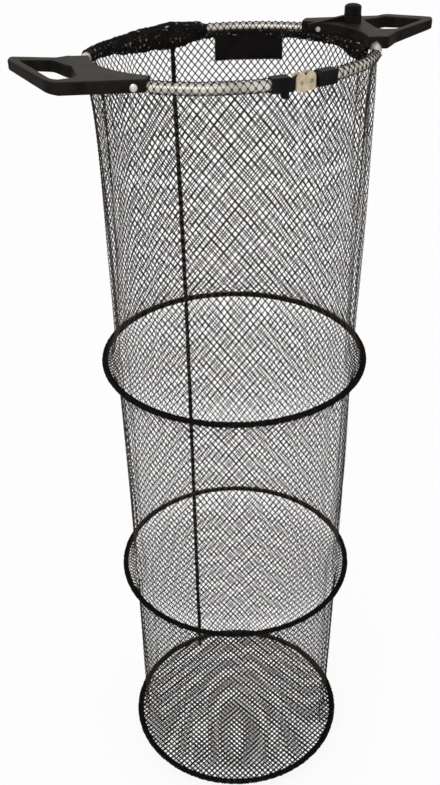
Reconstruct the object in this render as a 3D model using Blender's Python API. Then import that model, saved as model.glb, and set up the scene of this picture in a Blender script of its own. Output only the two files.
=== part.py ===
"""Keep net: a folding oval mouth ring with two finger-loop handles, and a net tube on three hoops.

Units are metres and +Z is up. The origin is the centre of the mouth ring. +X runs along the ring's
long axis to the right handle, +Y to the rear, and the net hangs down along -Z.
"""

import math

import bmesh
import bpy
from mathutils import Matrix, Vector

# Clearances
FIT_GAP = 0.0003          # between pieces that touch
CUT_OVERRUN = 0.004       # how far a cutter runs past the piece it cuts

# Mouth ring: the centre line of the bent tube, an ellipse
RING_HALF_LENGTH = 0.192
RING_HALF_WIDTH = 0.140
TUBE_RADIUS = 0.006
TUBE_WALL = 0.0012

# Folding hinges
HINGE_BEARING = math.radians(108)   # of the rear hinge, seen from the ring's centre
PIN_SPACING = 0.015
PIN_RADIUS = 0.0016
PIN_HEAD_RADIUS = 0.0026
PIN_HEAD_HEIGHT = 0.0008
LINK_THICKNESS = 0.0025
LINK_HEIGHT = 0.021
LINK_LOBE_RADIUS = 0.0072
LINK_NOTCH_DEPTH = 0.0045
LINK_CORNER_RADIUS = 0.002
LINK_LOBE_TURN = math.radians(120)     # how far each lobe's arc goes round, to the notch
LINK_SWING_GAP = 0.0006    # between a lobe and the socket that folds over it
TONGUE_THICKNESS = 0.006
TONGUE_DROP = 0.0075      # how far the tongue's square foot reaches below the pins

# Sockets that hold the tube's ends
SOCKET_START = 0.017      # along the ring, from the hinge's middle
SOCKET_LENGTH = 0.027
SOCKET_WIDTH = 0.0165
SOCKET_HEIGHT = 0.017
SOCKET_CHAMFER = 0.0042
SOCKET_END_WALL = 0.005
SOCKET_ROUNDING = 0.0015
LUG_WIDTH = 0.010
LUG_ROUNDING = 0.0045
LUG_THICKNESS = 0.005
LUG_OFFSET = 0.004        # outwards, so that it hangs in front of the net
LUG_DROP = 0.0075

# Handles, given for the right one. Reach is measured outwards from the end of the ring's centre line,
# side is measured across, towards the long arm
ARM_LENGTH = 0.118
SHORT_END_LENGTH = 0.022
HANDLE_WALL = 0.009       # from the tube's centre line to the moulding's faces
CORNER_REACH, CORNER_SIDE = 0.060, 0.082
TIP_REACH, TIP_SIDE = 0.0925, 0.009
NOSE_REACH, NOSE_SIDE = 0.087, -0.005
BAR_REACH, BAR_SIDE = 0.031, -0.015
HEEL_REACH, HEEL_SIDE = 0.014, -0.027
CORNER_RADIUS = 0.014
TIP_RADIUS = 0.007
BAR_RADIUS = 0.012
HANDLE_TOP = 0.011
HANDLE_BOTTOM = -0.004
BEND_LOW_REACH, BEND_LOW_SIDE = 0.012, -0.027      # the loop rises beyond a line through these
BEND_HIGH_REACH, BEND_HIGH_SIDE = 0.045, 0.075     # two places
RISE_TOP_SHARE = 0.165    # how fast the loop's top rises, as a share of the distance from that line
RISE_BOTTOM_SHARE = 0.215
HANDLE_ROUNDING = 0.0022
GRIP_FAR_REACH, GRIP_FAR_SIDE = 0.078, 0.0085
GRIP_WAIST_REACH, GRIP_WAIST_SIDE = 0.037, -0.001
GRIP_SLANT_REACH, GRIP_SLANT_SIDE = 0.019, 0.022
GRIP_NEAR_REACH, GRIP_NEAR_SIDE = 0.021, 0.068
GRIP_CORNER_REACH, GRIP_CORNER_SIDE = 0.052, 0.071
GRIP_RADIUS = 0.006

# Arm rivets and short-end screws
ARM_RIVET_ALONG = 0.098   # along the ring from its end
ARM_RIVET_RISE = 0.0022   # above the tube's centre line
RIVET_RADIUS = 0.002
RIVET_HEAD_RADIUS = 0.005
RIVET_HEAD_HEIGHT = 0.0024
RIVET_TAIL_RADIUS = 0.0034
RIVET_TAIL_HEIGHT = 0.001
SCREW_ALONG = 0.008
SCREW_RADIUS = 0.0018
SCREW_HEAD_RADIUS = 0.0036
SCREW_RIM_RADIUS = 0.0029  # of the head's flat end
SCREW_HEAD_HEIGHT = 0.0016
SCREW_DEPTH = 0.0085      # how far its tip reaches above the tube's centre line

# Bank-stick fitting in the right handle
BOSS_REACH, BOSS_SIDE = 0.001, 0.062
BOSS_RADIUS = 0.0122
BOSS_TOP = 0.020
BOSS_BOTTOM = -0.012
INSERT_RADIUS = 0.0077
INSERT_BORE_RADIUS = 0.0048
INSERT_TOP = 0.010
INSERT_FLANGE_RADIUS = 0.0105
INSERT_FLANGE_HEIGHT = 0.002
KNOB_RADIUS = 0.0115
KNOB_HEIGHT = 0.0135
KNOB_DOME_HEIGHT = 0.004
KNOB_SHANK_RADIUS = 0.0044
KNOB_SHANK_BOTTOM = 0.001
KNOB_FLUTES = 12
KNOB_FLUTE_DEPTH = 0.0007
GUSSET_LENGTH = 0.060
GUSSET_THICKNESS = 0.006

# Net sleeves and hem bands on the ring
SLEEVE_THICKNESS = 0.0006
SLEEVE_SLOT = math.radians(40)      # the laced opening, facing into the ring
SEAM_WIDTH = 0.0018       # of the stitched ridge under the sleeve, which the net hangs from
BARE_TUBE = 0.016         # left uncovered beside each handle's short end
HEM_TOP = -0.0045         # just below the handles
HEM_DROP = 0.012
HEM_THICKNESS = 0.002
REAR_HEM_LENGTH = 0.165   # from the rear hinge's socket towards the right handle
BUNCH_LENGTH = 0.100      # the gathered band from the rear hinge's socket to the left handle
BUNCH_DROP = 0.006
BUNCH_THICKNESS = 0.0035
LABEL_WIDTH = 0.098
LABEL_HEIGHT = 0.037
LABEL_THICKNESS = 0.0012
LABEL_ALONG = 0.112       # from the rear hinge to the label's middle, along the ring
LABEL_OVERLAP = 0.004     # how far the label reaches up behind the hem

# Hoops
HOOP_RADIUS = 0.200
HOOP_ROD_RADIUS = 0.003
BASE_ROD_RADIUS = 0.004
FERRULE_WALL = 0.0006
FERRULE_LENGTH = 0.030
ROD_END_GAP = 0.0006
BINDING_WALL = 0.0006
BINDING_SLOT = math.radians(50)     # the stitched opening, facing the hoop's centre
HOOP_SEAM_BEARING = math.radians(250)

# Net tube
SECTION_DROPS = (0.432, 0.422, 0.411)   # ring to first hoop, then hoop to hoop
NET_RADIUS = 0.184        # of the net between its hoops
FLARE_LENGTH = 0.034      # over which the net opens out to a hoop
MOUTH_DEPTH = 0.110       # of the netting that folds with the ring
STRAND_WIDTH = 0.0028
STRAND_THICKNESS = 0.0018
NET_COLUMNS = 16
MOUTH_ROWS = 2
SECTION_ROWS = 6
BASE_CELLS = 8

# Seam cord
CORD_RADIUS = 0.0027
CORD_BEARING = math.radians(98)     # on the hoops; it starts at the rear hinge

# Facets
ROUND_SIDES = 16
POCKET_SIDES = 32
TUBE_SIDES = 10
ROD_SIDES = 6
BINDING_SIDES = 7
RING_FACETS = 40          # round the whole mouth ring
HOOP_STEPS = 30
CORNER_STEPS = 4
SHARP_DEGREES = 35        # edges sharper than this are shaded as edges
WALK_STEPS = 400

UP = Vector((0, 0, 1))
FOLD_WAY = Vector((math.sin(HINGE_BEARING), -math.cos(HINGE_BEARING), 0))
HINGE_AXIS = Vector((math.cos(HINGE_BEARING), math.sin(HINGE_BEARING), 0))


# Materials

def make_material(name, color, roughness, metallic=0.0):
    material = bpy.data.materials.new(name)
    material.use_nodes = True
    shader = material.node_tree.nodes["Principled BSDF"]
    shader.inputs["Base Color"].default_value = (*color, 1.0)
    shader.inputs["Roughness"].default_value = roughness
    shader.inputs["Metallic"].default_value = metallic
    material.diffuse_color = (*color, 1.0)
    return material


def make_materials():
    return {
        "aluminium": make_material("aluminium", (0.70, 0.70, 0.68), 0.35, 1.0),
        "moulding": make_material("handle_moulding", (0.045, 0.036, 0.030), 0.50),
        "socket": make_material("socket_moulding", (0.012, 0.012, 0.012), 0.55),
        "link": make_material("link_plastic", (0.50, 0.42, 0.31), 0.50),
        "steel": make_material("rivet_steel", (0.72, 0.72, 0.70), 0.30, 1.0),
        "brass": make_material("insert_brass", (0.70, 0.50, 0.22), 0.35, 1.0),
        "rod": make_material("hoop_rod", (0.03, 0.03, 0.03), 0.45),
        "binding": make_material("hoop_binding", (0.010, 0.010, 0.010), 0.90),
        "net": make_material("net_yarn", (0.030, 0.026, 0.024), 0.85),
        "label": make_material("label_cloth", (0.012, 0.010, 0.011), 0.80),
    }


# Objects and meshes

def clear_scene():
    for old in list(bpy.data.objects):
        bpy.data.objects.remove(old, do_unlink=True)


def object_from(name, shape, material, smooth=True):
    """A scene object from a bmesh, with its faces turned outwards."""
    bmesh.ops.recalc_face_normals(shape, faces=shape.faces)
    mesh = bpy.data.meshes.new(name)
    shape.to_mesh(mesh)
    shape.free()
    if smooth:
        mesh.shade_smooth()
        mesh.set_sharp_from_angle(angle=math.radians(SHARP_DEGREES))
    if material:
        mesh.materials.append(material)
    made = bpy.data.objects.new(name, mesh)
    bpy.context.scene.collection.objects.link(made)
    return made


def as_cutter(piece):
    piece.hide_render = True
    piece.display_type = "WIRE"
    return piece


def combine(piece, other, operation="DIFFERENCE"):
    """A Boolean of a piece with a helper object, which is then left out of the model."""
    as_cutter(other)
    modifier = piece.modifiers.new(f"{operation.title()} {other.name}", "BOOLEAN")
    modifier.operation = operation
    modifier.object = other


def round_edges(piece, width):
    modifier = piece.modifiers.new("Rounding", "BEVEL")
    modifier.width = width
    modifier.segments = 2
    modifier.limit_method = "ANGLE"
    modifier.angle_limit = math.radians(SHARP_DEGREES)


def joint_empty(name, place, parent=None):
    empty = bpy.data.objects.new(name, None)
    empty.location = place
    bpy.context.scene.collection.objects.link(empty)
    bpy.context.view_layer.update()
    if parent:
        attach(empty, parent)
    return empty


def attach(piece, parent):
    """Parents a piece without moving it."""
    bpy.context.view_layer.update()
    piece.parent = parent
    piece.matrix_parent_inverse = parent.matrix_world.inverted()


def half_turn(piece, turned):
    """The left half of the net is the right half turned by 180 degrees about the ring's centre."""
    piece.rotation_euler = (0, 0, math.pi if turned else 0)
    return piece


def copy_of(piece, name):
    """Another object on the same mesh, with the same modifiers."""
    twin = piece.copy()
    twin.name = name
    bpy.context.scene.collection.objects.link(twin)
    return twin


# The ring's centre line

FACET_ANGLE = 2 * math.pi / RING_FACETS


def oval_point(angle):
    return Vector((RING_HALF_LENGTH * math.cos(angle), RING_HALF_WIDTH * math.sin(angle), 0))


def ring_point(angle):
    """A point on the facets of the centre line, which all pieces along the ring share."""
    count = angle / FACET_ANGLE
    first = math.floor(count + 1e-6)
    return oval_point(first * FACET_ANGLE).lerp(oval_point((first + 1) * FACET_ANGLE), count - first)


def ring_speed(angle):
    return math.hypot(RING_HALF_LENGTH * math.sin(angle), RING_HALF_WIDTH * math.cos(angle))


def ring_outward(angle):
    across = Vector((RING_HALF_WIDTH * math.cos(angle), RING_HALF_LENGTH * math.sin(angle), 0))
    return across.normalized()


def ring_angle(bearing):
    """The ellipse's own angle at a bearing seen from its centre."""
    return math.atan2(RING_HALF_LENGTH * math.sin(bearing), RING_HALF_WIDTH * math.cos(bearing))


def walk(angle, distance):
    """The angle reached after a distance along the ring."""
    step = distance / WALK_STEPS
    for _ in range(WALK_STEPS):
        angle += step / ring_speed(angle)
    return angle


REAR_ANGLE = ring_angle(HINGE_BEARING)
FRONT_ANGLE = REAR_ANGLE - math.pi
ARM_ANGLE = walk(0, ARM_LENGTH)
SHORT_ANGLE = walk(0, -SHORT_END_LENGTH)


def ring_path(start, end):
    """Stations along the ring's facets: a point, and the direction outwards from it."""
    low, high = min(start, end), max(start, end)
    first, last = math.ceil(low / FACET_ANGLE + 1e-3), math.floor(high / FACET_ANGLE - 1e-3)
    angles = [low] + [i * FACET_ANGLE for i in range(first, last + 1)] + [high]
    if end < start:
        angles.reverse()
    return [(ring_point(angle), ring_outward(angle)) for angle in angles]


def hoop_path(height):
    """Stations round a hoop, with the middle of a facet at its seam."""
    stations = []
    for i in range(HOOP_STEPS):
        angle = HOOP_SEAM_BEARING + 2 * math.pi * (i + 0.5) / HOOP_STEPS
        outward = Vector((math.cos(angle), math.sin(angle), 0))
        stations.append((outward * HOOP_RADIUS + UP * height, outward))
    return stations


def seam_stations(height, length):
    """Two stations on a hoop's seam facet, a length apart about its middle."""
    outward = Vector((math.cos(HOOP_SEAM_BEARING), math.sin(HOOP_SEAM_BEARING), 0))
    along = UP.cross(outward)
    middle = outward * HOOP_RADIUS * math.cos(math.pi / HOOP_STEPS) + UP * height
    return [(middle + along * side * length / 2, outward) for side in (1, -1)]


# Sections and solids

def circle(radius, sides, phase=0.5):
    angles = [2 * math.pi * (i + phase) / sides for i in range(sides)]
    return [(radius * math.cos(angle), radius * math.sin(angle)) for angle in angles]


def open_band(inner, outer, slot, sides):
    """The section of a sleeve round a tube, open by an angle on its inward side."""
    angles = [-math.pi + slot / 2 + (2 * math.pi - slot) * i / sides for i in range(sides + 1)]
    outside = [(outer * math.cos(angle), outer * math.sin(angle)) for angle in angles]
    inside = [(inner * math.cos(angle), inner * math.sin(angle)) for angle in reversed(angles)]
    return outside + inside


def station_ring(shape, station, section):
    point, outward = station
    return [shape.verts.new(point + outward * across + UP * high) for across, high in section]


def skin(shape, first, second):
    count = len(first)
    for i in range(count):
        j = (i + 1) % count
        shape.faces.new((first[i], first[j], second[j], second[i]))


def swept(path, section, bore=None, closed=False):
    """A section carried along a path, with a bore through it if one is given."""
    shape = bmesh.new()
    walls = [[station_ring(shape, station, section) for station in path]]
    if bore:
        walls.append([station_ring(shape, station, bore) for station in path])
    for rings in walls:
        for first, second in zip(rings, rings[1:] + rings[:1] if closed else rings[1:]):
            skin(shape, first, second)
    if not closed:
        for end in (0, -1):
            if bore:
                skin(shape, walls[0][end], walls[1][end])
            else:
                shape.faces.new(walls[0][end])
    return shape


def turned(profile, sides=ROUND_SIDES, place=None, closed=False):
    """A profile of (radius, height) points turned about Z, then placed by a matrix."""
    shape = bmesh.new()
    rings = []
    for radius, height in profile:
        if radius < 1e-9:
            rings.append([shape.verts.new((0, 0, height))])
            continue
        rings.append([shape.verts.new((x, y, height)) for x, y in circle(radius, sides)])
    pairs = list(zip(rings, rings[1:]))
    if closed:
        pairs.append((rings[-1], rings[0]))
    for first, second in pairs:
        for i in range(sides):
            j = (i + 1) % sides
            corners = [first[i % len(first)], first[j % len(first)],
                       second[j % len(second)], second[i % len(second)]]
            shape.faces.new(list(dict.fromkeys(corners)))
    if place:
        shape.transform(place)
    return shape


def rounded_outline(corners):
    """An outline from (x, y, radius) corners, with an arc at each corner that has a radius."""
    outline = []
    count = len(corners)
    for i, (x, y, radius) in enumerate(corners):
        here = Vector((x, y))
        if not radius:
            outline.append(here)
            continue
        before = (Vector(corners[i - 1][:2]) - here).normalized()
        after = (Vector(corners[(i + 1) % count][:2]) - here).normalized()
        half = before.angle(after) / 2
        back = radius / math.tan(half)
        centre = here + (before + after).normalized() * (radius / math.sin(half))
        start = here + before * back - centre
        sweep = math.pi - 2 * half
        way = 1 if before.x * after.y - before.y * after.x < 0 else -1
        for step in range(CORNER_STEPS + 1):
            turn = Matrix.Rotation(way * sweep * step / CORNER_STEPS, 2)
            outline.append(centre + turn @ start)
    return outline


def prism(outline, low, high):
    """An outline in the XY plane drawn up from one height to another."""
    shape = bmesh.new()
    bottom = [shape.verts.new((x, y, low)) for x, y in outline]
    top = [shape.verts.new((x, y, high)) for x, y in outline]
    skin(shape, bottom, top)
    shape.faces.new(bottom)
    shape.faces.new(top)
    return shape


def frame_matrix(origin, x_axis, y_axis, z_axis):
    columns = Matrix((x_axis, y_axis, z_axis)).transposed().to_4x4()
    return Matrix.Translation(origin) @ columns


# Hinges

def hinge_frame(rear):
    """X along the fold, Y up and Z outwards along the hinge's axis."""
    outwards = HINGE_AXIS if rear else -HINGE_AXIS
    way = FOLD_WAY if not rear else -FOLD_WAY
    return frame_matrix(ring_point(REAR_ANGLE if rear else FRONT_ANGLE), way, UP, outwards)


def link_outline():
    """A plate with two round lobes above, a notch between them and a straight foot."""
    half = PIN_SPACING / 2
    reach = half + LINK_LOBE_RADIUS
    foot = -LINK_HEIGHT / 2
    lobe_top = LINK_HEIGHT / 2
    lobe_centre = lobe_top - LINK_LOBE_RADIUS
    outline = [Vector((half - LINK_LOBE_RADIUS, foot)), Vector((reach - LINK_CORNER_RADIUS, foot)),
               Vector((reach, foot + LINK_CORNER_RADIUS))]
    for step in range(CORNER_STEPS + 1):
        angle = LINK_LOBE_TURN * step / CORNER_STEPS
        outline.append(Vector((half + LINK_LOBE_RADIUS * math.cos(angle),
                               lobe_centre + LINK_LOBE_RADIUS * math.sin(angle))))
    outline.append(Vector((0, lobe_top - LINK_NOTCH_DEPTH)))
    mirrored = [Vector((-x, y)) for x, y in reversed(outline[1:-1])]
    return outline[1:] + mirrored


def make_link(name, frame, inner, material):
    low = TONGUE_THICKNESS / 2 + FIT_GAP
    if inner:
        low = -low - LINK_THICKNESS
    shape = prism(link_outline(), low, low + LINK_THICKNESS)
    plate = object_from(name, shape, material, smooth=False)
    for side in (-1, 1):
        place = Matrix.Translation((side * PIN_SPACING / 2, 0, 0))
        hole = prism(circle(PIN_RADIUS + FIT_GAP, TUBE_SIDES), low - CUT_OVERRUN,
                     low + LINK_THICKNESS + CUT_OVERRUN)
        hole.transform(place)
        combine(plate, object_from(f"{name}_hole_{side}", hole, None))
    for piece in [plate] + [m.object for m in plate.modifiers]:
        piece.data.transform(frame)
    return plate


def make_pin(name, frame, side, material):
    """A plain pin with a low domed head at each end, outside the two link plates."""
    half = TONGUE_THICKNESS / 2 + FIT_GAP + LINK_THICKNESS + FIT_GAP
    top = half + PIN_HEAD_HEIGHT
    profile = [(0, -top), (PIN_RADIUS, -top), (PIN_HEAD_RADIUS, -half), (PIN_RADIUS, -half),
               (PIN_RADIUS, half), (PIN_HEAD_RADIUS, half), (PIN_RADIUS, top), (0, top)]
    place = frame @ Matrix.Translation((side * PIN_SPACING / 2, 0, 0))
    return object_from(name, turned(profile, TUBE_SIDES, place), material)


def make_links(materials):
    pieces = []
    for end, rear in (("front", False), ("rear", True)):
        frame = hinge_frame(rear)
        pieces.append(make_link(f"{end}_outer_link", frame, False, materials["link"]))
        pieces.append(make_link(f"{end}_inner_link", frame, True, materials["link"]))
        for side in (-1, 1):
            # The hinge frame's X runs to the right at the front and to the left at the rear
            hand = "right" if (side > 0) != rear else "left"
            name = f"{end}_{hand}_hinge_pin"
            pieces.append(make_pin(name, frame, side, materials["steel"]))
    return pieces


def tongue_shape(frame, along_x):
    """The flat tongue between the link plates: round above its pin and square below, as a stop."""
    pin = PIN_SPACING / 2
    nose = pin - FIT_GAP / 2
    steps = 2 * CORNER_STEPS
    outline = [Vector((FIT_GAP / 2, -TONGUE_DROP)), Vector((SOCKET_START + SOCKET_END_WALL / 2, -TONGUE_DROP))]
    outline.append(Vector((SOCKET_START + SOCKET_END_WALL / 2, nose - SOCKET_CHAMFER / 2)))
    outline.append(Vector((SOCKET_START, nose - SOCKET_CHAMFER / 2)))
    for step in range(steps + 1):
        angle = math.pi / 2 + math.pi / 2 * step / steps
        outline.append(Vector((pin + nose * math.cos(angle), nose * math.sin(angle))))
    if not along_x:
        outline = [Vector((-x, y)) for x, y in reversed(outline)]
    shape = prism(outline, -TONGUE_THICKNESS / 2, TONGUE_THICKNESS / 2)
    shape.transform(frame)
    return shape


def socket_section():
    half, high = SOCKET_WIDTH / 2, SOCKET_HEIGHT / 2
    corners = [(half, -high), (half, high), (-half, high), (-half, -high)]
    return [tuple(point) for point in
            rounded_corners([(x, y, SOCKET_ROUNDING) for x, y in corners])]


def rounded_corners(corners):
    """A coarser rounding, two points for each corner."""
    outline = []
    count = len(corners)
    for i, (x, y, radius) in enumerate(corners):
        here = Vector((x, y))
        for other in (corners[i - 1], corners[(i + 1) % count]):
            outline.append(here + (Vector(other[:2]) - here).normalized() * radius)
    return outline


def make_socket(name, rear, lug, material):
    """A socket of the right half: a sleeve for the tube's end, and the hinge's tongue."""
    start = REAR_ANGLE if rear else FRONT_ANGLE
    way = -1 if rear else 1
    frame = hinge_frame(rear)
    near, far = walk(start, way * SOCKET_START), walk(start, way * (SOCKET_START + SOCKET_LENGTH))
    path = ring_path(near, far)
    socket = object_from(name, swept(path, socket_section()), material, smooth=False)

    # The top edge towards the hinge is cut away so that the two halves can fold up side by side
    point, outward = path[0]
    along = (path[1][0] - point).normalized()
    high = SOCKET_HEIGHT / 2
    wedge = [Vector((-CUT_OVERRUN, high + CUT_OVERRUN)),
             Vector((-CUT_OVERRUN, high - SOCKET_CHAMFER - CUT_OVERRUN)),
             Vector((SOCKET_CHAMFER + CUT_OVERRUN, high + CUT_OVERRUN))]
    shape = prism(wedge, -SOCKET_WIDTH, SOCKET_WIDTH)
    shape.transform(frame_matrix(point, along, UP, along.cross(UP)))
    combine(socket, object_from(f"{name}_chamfer", shape, None, smooth=False))

    # The near end is hollowed about the pin, so that the link plates' lobes turn in it
    side = -1 if rear else 1
    pin_place = frame @ Matrix.Translation((side * PIN_SPACING / 2, 0, 0))
    swing = (LINK_HEIGHT / 2 + LINK_SWING_GAP) / math.cos(math.pi / POCKET_SIDES)
    pocket_reach = TONGUE_THICKNESS / 2 + FIT_GAP + LINK_THICKNESS + LINK_SWING_GAP
    pocket = prism(circle(swing, POCKET_SIDES), -pocket_reach, pocket_reach)
    pocket.transform(pin_place)
    combine(socket, object_from(f"{name}_pocket", pocket, None))

    tongue = tongue_shape(frame, along_x=not rear)
    combine(socket, object_from(f"{name}_tongue", tongue, None, smooth=False), "UNION")
    if lug:
        middle = walk(start, way * (SOCKET_START + LUG_WIDTH))
        foot = [(-LUG_WIDTH / 2, -high + SOCKET_ROUNDING, 0),
                (-LUG_WIDTH / 2, -high - LUG_DROP, LUG_ROUNDING),
                (LUG_WIDTH / 2, -high - LUG_DROP, LUG_ROUNDING),
                (LUG_WIDTH / 2, -high + SOCKET_ROUNDING, 0)]
        shape = prism(rounded_outline(foot), -LUG_THICKNESS / 2, LUG_THICKNESS / 2)
        foot_place = ring_point(middle) + ring_outward(middle) * LUG_OFFSET
        shape.transform(frame_matrix(foot_place, along, UP, along.cross(UP)))
        combine(socket, object_from(f"{name}_lug", shape, None), "UNION")

    bore_start = walk(start, way * (SOCKET_START + SOCKET_END_WALL))
    bore = swept(ring_path(bore_start, walk(far, way * CUT_OVERRUN)),
                 circle(TUBE_RADIUS + FIT_GAP, TUBE_SIDES))
    combine(socket, object_from(f"{name}_bore", bore, None))

    hole = prism(circle(PIN_RADIUS + FIT_GAP, TUBE_SIDES), -SOCKET_WIDTH, SOCKET_WIDTH)
    hole.transform(pin_place)
    combine(socket, object_from(f"{name}_pin_hole", hole, None))
    return socket


# Tube, sleeves and hems

def make_tube(name, material):
    seat = SOCKET_START + SOCKET_END_WALL + FIT_GAP
    path = ring_path(walk(FRONT_ANGLE, seat), walk(REAR_ANGLE, -seat))
    shape = swept(path, circle(TUBE_RADIUS, TUBE_SIDES), circle(TUBE_RADIUS - TUBE_WALL, TUBE_SIDES))
    tube = object_from(name, shape, material)
    combine(tube, rivet_hole("tube_rivet_hole"))
    combine(tube, screw_hole("tube_screw_hole"))
    return tube


def make_sleeve(name, start, end, material):
    """The net's rolled edge round a bare stretch of tube."""
    inner = TUBE_RADIUS + FIT_GAP
    section = open_band(inner, inner + SLEEVE_THICKNESS, SLEEVE_SLOT, TUBE_SIDES)
    lowest = min(range(len(section)), key=lambda i: section[i][1])
    foot = -LINK_HEIGHT / 2
    section[lowest:lowest + 1] = [(-SEAM_WIDTH / 2, foot), (SEAM_WIDTH / 2, foot)]
    return object_from(name, swept(ring_path(start, end), section), material)


def sleeve_spans():
    """Where the right half's tube is bare of handle and socket: (name part, start, end)."""
    socket_end = SOCKET_START + SOCKET_LENGTH + FIT_GAP
    arm_side = walk(ARM_ANGLE, FIT_GAP), walk(REAR_ANGLE, -socket_end)
    short_side = walk(FRONT_ANGLE, socket_end), walk(SHORT_ANGLE, -BARE_TUBE)
    return arm_side, short_side


SLEEVE_RADIUS = TUBE_RADIUS + FIT_GAP + SLEEVE_THICKNESS


def hem_inside():
    """Where a hem's top meets the sleeve, on the inner side of the tube."""
    return -math.sqrt((SLEEVE_RADIUS + FIT_GAP) ** 2 - HEM_TOP ** 2)


def make_hem(name, start, end, thickness, drop, material):
    """A gathered band of net that lies against the sleeve's inner side and hangs below it."""
    inside, foot = hem_inside(), HEM_TOP - drop
    swell = inside - thickness
    section = [(inside, HEM_TOP), (inside - thickness / 2, HEM_TOP), (swell, HEM_TOP - thickness / 2),
               (swell, foot + thickness / 2), (inside - thickness / 2, foot), (inside, foot)]
    return object_from(name, swept(ring_path(start, end), section), material)


def make_label(material):
    """A plain cloth label sewn to the rear hem, standing straight down inside the ring."""
    middle = walk(REAR_ANGLE, -LABEL_ALONG)
    inside = hem_inside() - HEM_THICKNESS - FIT_GAP
    top = HEM_TOP - HEM_DROP + LABEL_OVERLAP
    section = [(inside, top), (inside - LABEL_THICKNESS, top),
               (inside - LABEL_THICKNESS, top - LABEL_HEIGHT), (inside, top - LABEL_HEIGHT)]
    path = ring_path(walk(middle, -LABEL_WIDTH / 2), walk(middle, LABEL_WIDTH / 2))
    return object_from("label", swept(path, section), material)


# Handles

def handle_outline():
    """The moulding's plan: a straight-backed arm along the tube, and the finger loop's outside."""
    end = RING_HALF_LENGTH
    arm_end = ring_point(ARM_ANGLE) + ring_outward(ARM_ANGLE) * HANDLE_WALL
    short_end = ring_point(SHORT_ANGLE) + ring_outward(SHORT_ANGLE) * HANDLE_WALL
    outside = rounded_outline([
        (arm_end.x, arm_end.y, 0),
        (end + CORNER_REACH, CORNER_SIDE, CORNER_RADIUS),
        (end + TIP_REACH, TIP_SIDE, TIP_RADIUS),
        (end + NOSE_REACH, NOSE_SIDE, TIP_RADIUS),
        (end + BAR_REACH, BAR_SIDE, BAR_RADIUS),
        (end + HEEL_REACH, HEEL_SIDE, TIP_RADIUS / 2),
        (short_end.x, short_end.y, 0),
    ])
    inside = [point - outward * HANDLE_WALL for point, outward in ring_path(SHORT_ANGLE, ARM_ANGLE)]
    return outside + [Vector((point.x, point.y)) for point in inside]


def grip_outline():
    """The finger hole's plan."""
    end = RING_HALF_LENGTH
    return rounded_outline([
        (end + GRIP_FAR_REACH, GRIP_FAR_SIDE, GRIP_RADIUS / 2),
        (end + GRIP_WAIST_REACH, GRIP_WAIST_SIDE, GRIP_RADIUS),
        (end + GRIP_SLANT_REACH, GRIP_SLANT_SIDE, GRIP_RADIUS),
        (end + GRIP_NEAR_REACH, GRIP_NEAR_SIDE, GRIP_RADIUS),
        (end + GRIP_CORNER_REACH, GRIP_CORNER_SIDE, GRIP_RADIUS),
    ])


def arm_back():
    """The arm's flat back in plan: where it starts, its direction and the way it faces."""
    start = ring_point(ARM_ANGLE) + ring_outward(ARM_ANGLE) * HANDLE_WALL
    along = Vector((RING_HALF_LENGTH + CORNER_REACH, CORNER_SIDE, 0)) - start
    along.normalize()
    return start, along, UP.cross(along)


def rivet_frame():
    """Z outwards through the arm, square to its back, from the tube's centre line."""
    _, along, facing = arm_back()
    return frame_matrix(ring_point(walk(0, ARM_RIVET_ALONG)) + UP * ARM_RIVET_RISE, along, UP, facing)


def rivet_reach():
    """From the tube's centre line to the arm's back, and to the rivet's seat on the inner wall.

    The rivet crosses the tube at a slant, so its seat is where the tail's near edge clears the tube.
    """
    start, _, facing = arm_back()
    angle = walk(0, ARM_RIVET_ALONG)
    outwards = (start - ring_point(angle)).dot(facing)
    slant = ring_outward(angle).angle(facing)
    clear = TUBE_RADIUS + 2 * FIT_GAP + RIVET_TAIL_RADIUS * math.sin(slant)
    return outwards, clear / math.cos(slant)


def rivet_hole(name):
    outwards, seat = rivet_reach()
    shape = prism(circle(RIVET_RADIUS + FIT_GAP, TUBE_SIDES), -seat - CUT_OVERRUN, outwards + CUT_OVERRUN)
    shape.transform(rivet_frame())
    return object_from(name, shape, None)


def rivet_seat(name):
    """Squares off the arm's curved inner wall under the rivet's tail."""
    _, seat = rivet_reach()
    radius = RIVET_TAIL_RADIUS + FIT_GAP
    shape = prism(circle(radius, TUBE_SIDES), -seat - CUT_OVERRUN, -seat)
    shape.transform(rivet_frame())
    return object_from(name, shape, None)


def make_rivet(name, material):
    """A domed rivet through the arm and the tube, set over a flat tail inside the ring."""
    outwards, seat = rivet_reach()
    head = outwards + FIT_GAP
    tail = -seat - FIT_GAP - RIVET_TAIL_HEIGHT
    profile = [(0, tail), (RIVET_TAIL_RADIUS, tail), (RIVET_TAIL_RADIUS, tail + RIVET_TAIL_HEIGHT),
               (RIVET_RADIUS, tail + RIVET_TAIL_HEIGHT), (RIVET_RADIUS, head), (RIVET_HEAD_RADIUS, head)]
    for step in range(1, CORNER_STEPS):
        angle = math.pi / 2 * step / CORNER_STEPS
        profile.append((RIVET_HEAD_RADIUS * math.cos(angle), head + RIVET_HEAD_HEIGHT * math.sin(angle)))
    profile.append((0, head + RIVET_HEAD_HEIGHT))
    return object_from(name, turned(profile, TUBE_SIDES, rivet_frame()), material)


def screw_place():
    return Matrix.Translation(ring_point(walk(0, -SCREW_ALONG)))


def screw_hole(name):
    shape = prism(circle(SCREW_RADIUS + FIT_GAP, TUBE_SIDES), -TUBE_RADIUS - CUT_OVERRUN, SCREW_DEPTH + FIT_GAP)
    shape.transform(screw_place())
    return object_from(name, shape, None)


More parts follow.
